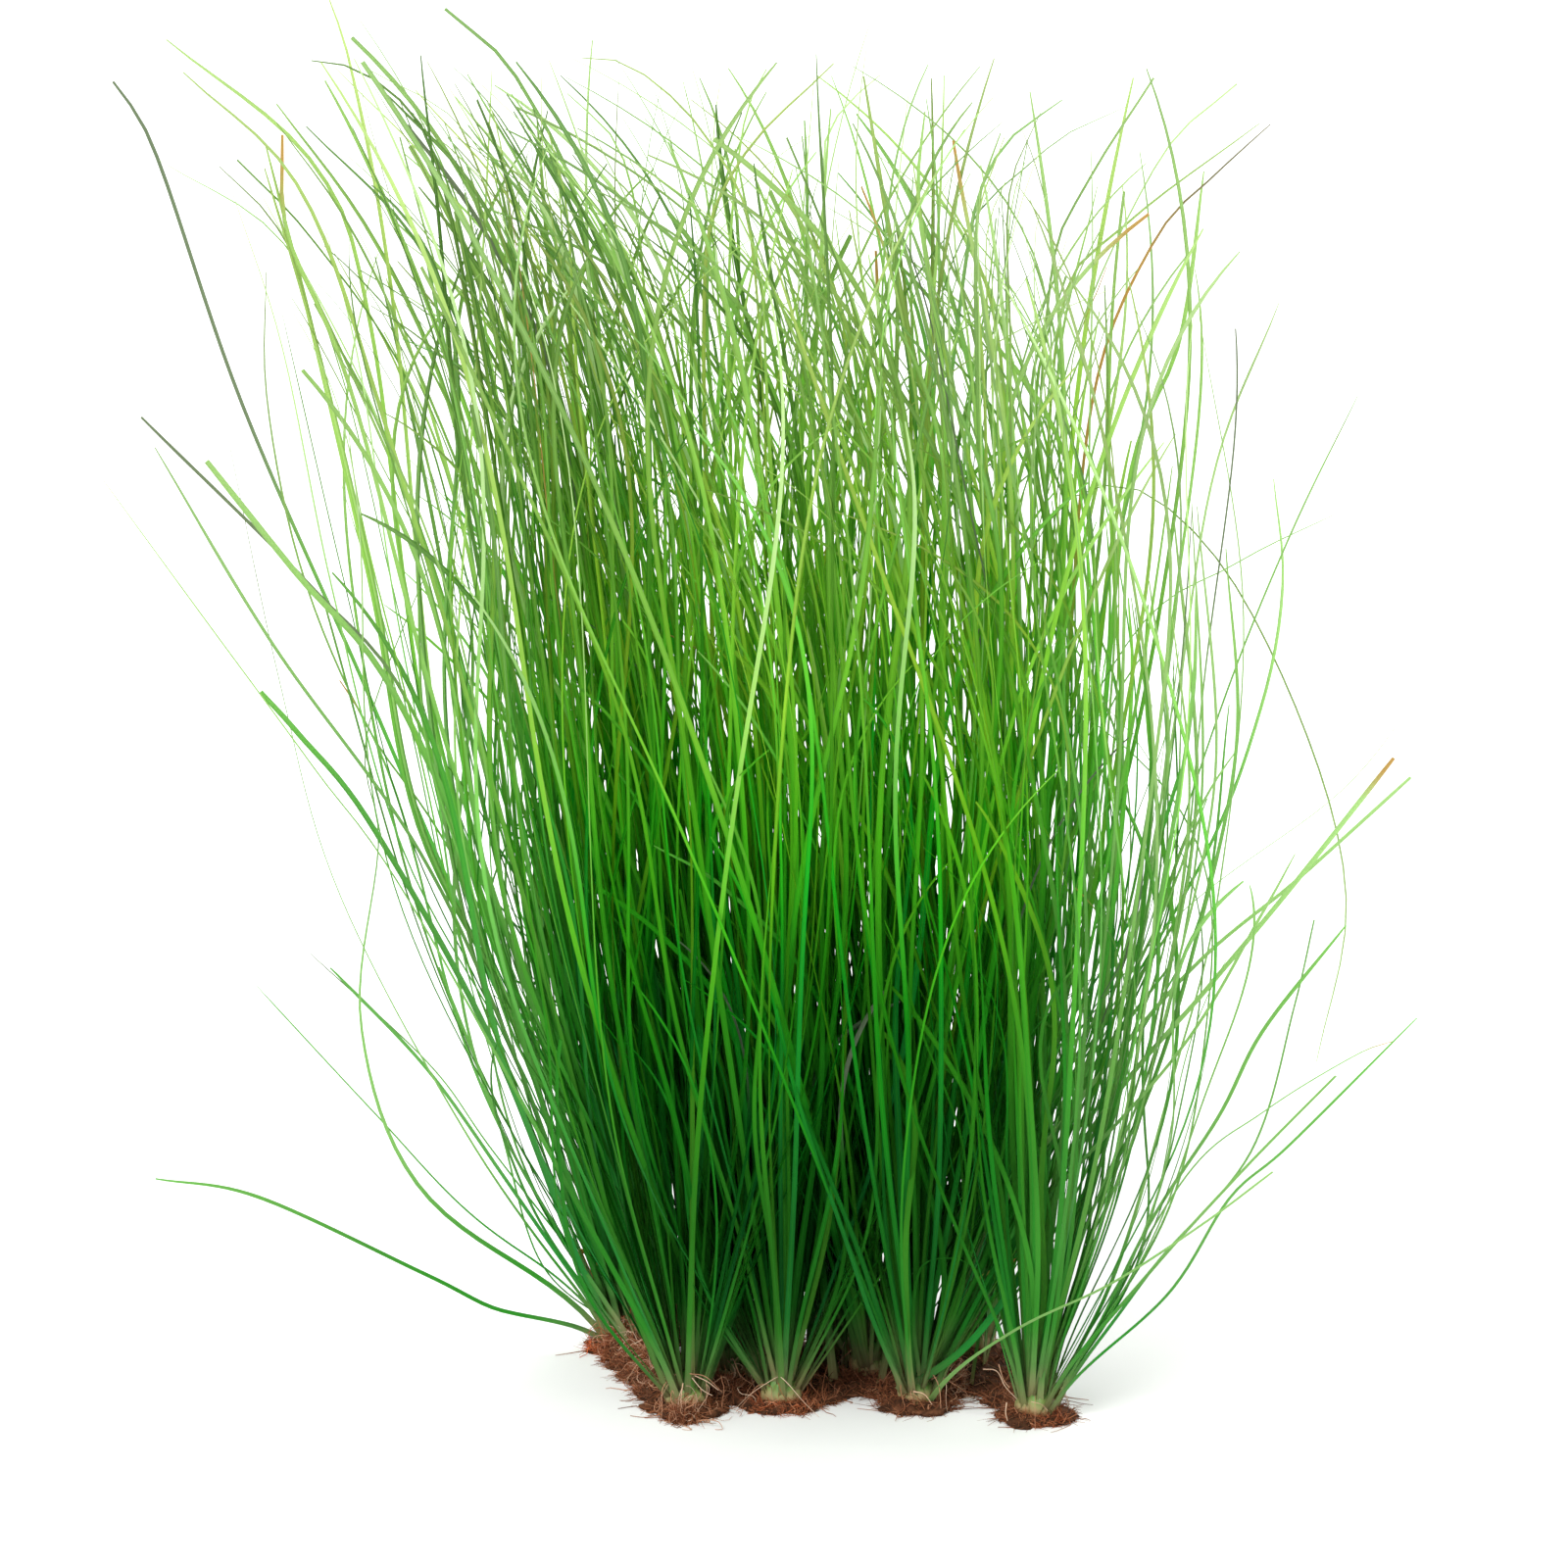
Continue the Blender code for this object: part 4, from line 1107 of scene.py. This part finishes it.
def add_tangle(strands, rng):
    """Pinkish rootlets that curl over the bank of roots."""
    first = len(root_lumps())
    start, normal = on_lumps(mat_lumps()[first:first + len(BANK)], TANGLE, rng)
    n = len(start)
    heading = unit(np.cross(normal, rng.normal(0, 1, (n, 3))))
    step = rng.uniform(0.5 * MM, MM, n)[:, None]
    curl = rng.normal(0, 0.45, (n, 3))
    points = [start + 0.3 * MM * normal]
    for i in range(TANGLE_RINGS - 1):
        curl = 0.8 * curl + rng.normal(0, 0.22, (n, 3))
        heading = unit(heading + np.cross(curl, heading) - 0.06 * normal)
        points.append(points[-1] + step * heading)
    radii = tapers(rng, 0.07, 0.14, n, (1, 0.5), TANGLE_RINGS)
    _, orange = root_shade(start, rng)
    rings = tubes(np.stack(points, axis=1), radii, 4, 0.2 * MM, 8.5 * MM)
    strands.add(rings, tone=rng.uniform(0.7, 1, n)[:, None, None], dry=orange)


# Single rootlets: depth in mm, and guide points as they are seen from the front
SINGLE_ROOTLETS = (
    (-2, (-38.1, 15.9, -35.2, 14.7, -32.5, 10.6)), (-3, (-39.3, 15.1, -36, 13, -33.3, 9.3)),
    (-1, (-40.1, 14.2, -37, 11.9, -34.6, 8.2)), (2, (-42.4, 13.9, -39.3, 15.5, -36.4, 15.9)),
    (4, (-45.6, 12.5, -43.5, 14.9, -40.9, 12.6)), (-29, (-29.2, 8.5, -26.5, 7.2, -24.2, 5.4)),
    (-30, (-29.8, 8.1, -27.7, 5.6, -25.5, 4.3)), (-28, (-30.3, 8.9, -26.9, 8.2, -23.4, 4.9)),
    (-14, (-24.2, 5, -20.3, 5.2, -16.8, 3.5)), (-13, (-20.3, 13.5, -18.2, 10.6, -16.6, 5)),
    (-15, (-20.9, 11, -19.5, 7.7, -17, 6)), (-31, (-31.7, 7, -32.1, 3.1, -31.5, 0)),
    (-29, (31.7, 9.9, 34.6, 9.5, 36.4, 6.2, 38.9, 3.5)), (-30, (35, 11, 36, 7.7, 37.3, 6)),
    (-36, (41.8, 3.3, 43.9, 2.7, 45.3, 1.4)), (-36, (36.6, 3.1, 36.4, 1, 36.8, -0.8)),
    (-26, (17, 5, 19.3, 4.4, 21, 2.2)),
)


def add_single_rootlets(strands, rng):
    paths = []
    for depth, points in SINGLE_ROOTLETS:
        y = depth * MM
        start = np.array([points[0] * MM, y, true_height(points[1] * MM, y)])
        paths.append(evenly(guided_path(start, points[2:], y), ROOTLET_RINGS))
    radii = tapers(rng, 0.11, 0.16, len(paths), (0.8, 0.5), ROOTLET_RINGS)
    tone = rng.uniform(0.85, 1, len(paths))[:, None, None]
    strands.add(tubes(np.array(paths), radii, 6, -1), tone=tone)


# Pieces


def new_object(name, data):
    made = bpy.data.objects.new(name, data)
    bpy.context.scene.collection.objects.link(made)
    return made


def add_piece(name, shape, material, slot, *nodes):
    """A piece from strands or from a mesh, in place of some solids."""
    mesh = shape.mesh(name) if isinstance(shape, Strands) else shape
    mesh.materials.clear()
    mesh.materials.append(material)
    piece = new_object(name, mesh)
    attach(piece, "root")
    if nodes:
        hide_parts(*nodes)


def tuft_blades(number, leaves, rng):
    """Path, width and kind of every blade of a tuft: its solid ones and all those between them."""
    place = PLACES[number]
    own = []
    for who, path, half in leaves:
        if who == number:
            lower = min(1, TALLEST / seen_height(path).max()) if place[0] > LOWERED_FROM else 1
            own.append((with_foot(path * (1, 1, lower), place, FOOT_OUT), BROADER * half))
    own += fill_leaves(number, rng) + stream_leaves(number, rng)
    kinds, shares = list(FILL_SHARES), list(FILL_SHARES.values())
    grown = [(*each, rng.choice(kinds, p=shares)) for each in own]
    if number in BACKING:
        grown += backing_leaves(rng)
    for who, heading, kind, width, points in ACCENTS:
        if who == number:
            path = guided_from(place, heading, 2.4 * MM, FOOT_HEIGHT, points, 12 * MM, -6 * MM)
            grown.append((path, width * MM, kind))
    return grown


def build_leaves(rng):
    """Every tuft and every outer leaf, each in place of its solid."""
    growth = np.random.default_rng(SEED)
    room = Room()
    sheath_posts(room)
    outer = outer_leaves(room, growth)
    leaves = crown_leaves(room, growth) + tuft_leaves(room, growth)
    leaf = leaf_material()
    for number in CROWNS:
        place = PLACES[number]
        strands = Strands()
        for path, width, kind in tuft_blades(number, leaves, rng):
            path = evenly(path, BLADE_RINGS)
            outward = (path[4] - place) * (1, 1, 0) + (1e-5, 0, 0)
            add_blade(strands, path, width, outward, rng, kind)
        add_piece(f"leaves_of_tuft_{number}", strands, leaf, "leaf", f"leaf_tuft_{number}")
    along = even(OUTER_BLADE_RINGS)[:, None]
    for i, (number, path) in enumerate(outer):
        place = PLACES[number]
        path = evenly(with_foot(path, place, OUTER_FOOT_OUT), OUTER_BLADE_RINGS)
        path = path + NEARER.get(i + 1, 0) * rise(along, 0, 0.25) * (0, -1, math.tan(LOOK_DOWN))
        outward = Vector((path[4] - place) * (1, 1, 0)).normalized() + Vector((0.3, -1.2, 0.3))
        strands = Strands()
        width = OUTER_WIDTHS[i] * MM
        add_blade(strands, path, width, outward, rng, OUTER_KINDS[i], 0.5, shaded=False)
        add_piece(f"outer_leaf_{i + 1:02d}", strands, leaf, "leaf", f"leaf_{i + 1:02d}")


def build_roots(rng):
    """The crowns and the mat in place of their solids, and the hairs and roots on them."""
    crown, root = crown_material(), root_material()
    for number in CROWNS:
        add_piece(f"crown_bulb_{number}", crown_strand(number, rng), crown, "crown", f"crown_{number}")
    add_piece("root_mat_skin", mat_mesh(), mat_material(), "roots", "root_mat")
    lumps = mat_lumps()
    share = math.ceil(len(lumps) / 4)
    for i in range(4):
        strands = Strands(rows=64)
        add_hairs(strands, lumps[i * share:(i + 1) * share], rng)
        add_piece(f"root_hairs_{i + 1}", strands, root, "roots")
    strands = Strands(rows=36)
    add_fibres(strands, lumps, rng)
    for number in CROWNS:
        add_rootlets(strands, number, rng)
    add_single_rootlets(strands, rng)
    add_tangle(strands, rng)
    add_piece("root_fibres", strands, root, "roots")


# Floor, light and camera


def add_floor():
    bpy.ops.mesh.primitive_plane_add(size=12, location=(0, 0, 0))
    floor = bpy.context.object
    floor.name = "floor"
    floor.data.materials.append(floor_material())


def face_along(thing, heading):
    thing.rotation_euler = heading.to_track_quat("-Z", "Y").to_euler()


def add_sun(name, heading, strength, softness):
    data = bpy.data.lights.new(name, "SUN")
    data.energy = strength
    data.angle = math.radians(softness)
    face_along(new_object(name, data), -Vector(heading))


def add_light():
    world = bpy.data.worlds.new("studio")
    bpy.context.scene.world = world
    world.use_nodes = True
    background = world.node_tree.nodes["Background"]
    background.inputs["Color"].default_value = (1, 1, 1, 1)
    background.inputs["Strength"].default_value = 1
    add_sun("key", (-0.5, -0.8, 1), 2.4, 25)
    add_sun("back", (0.2, 0.7, 1), 1.6, 30)
    bpy.context.scene.view_settings.view_transform = "Standard"


# The frame shows 0.331 m across at the clump, seen from 14 degrees above
FRAME_WIDTH = 0.3312
AIM = Vector((-10.35 * MM, 0, 131.4 * MM))
LENS = 300
SENSOR = 36


def add_camera():
    data = bpy.data.cameras.new("camera")
    data.lens = LENS
    data.sensor_width = SENSOR
    back = Vector((0, -math.cos(LOOK_DOWN), math.sin(LOOK_DOWN)))
    camera = new_object("camera", data)
    camera.location = AIM + back * FRAME_WIDTH * LENS / SENSOR
    face_along(camera, -back)
    bpy.context.scene.camera = camera


add_camera()
looks = np.random.default_rng(LOOK_SEED)
build_leaves(looks)
build_roots(looks)
add_floor()
add_light()
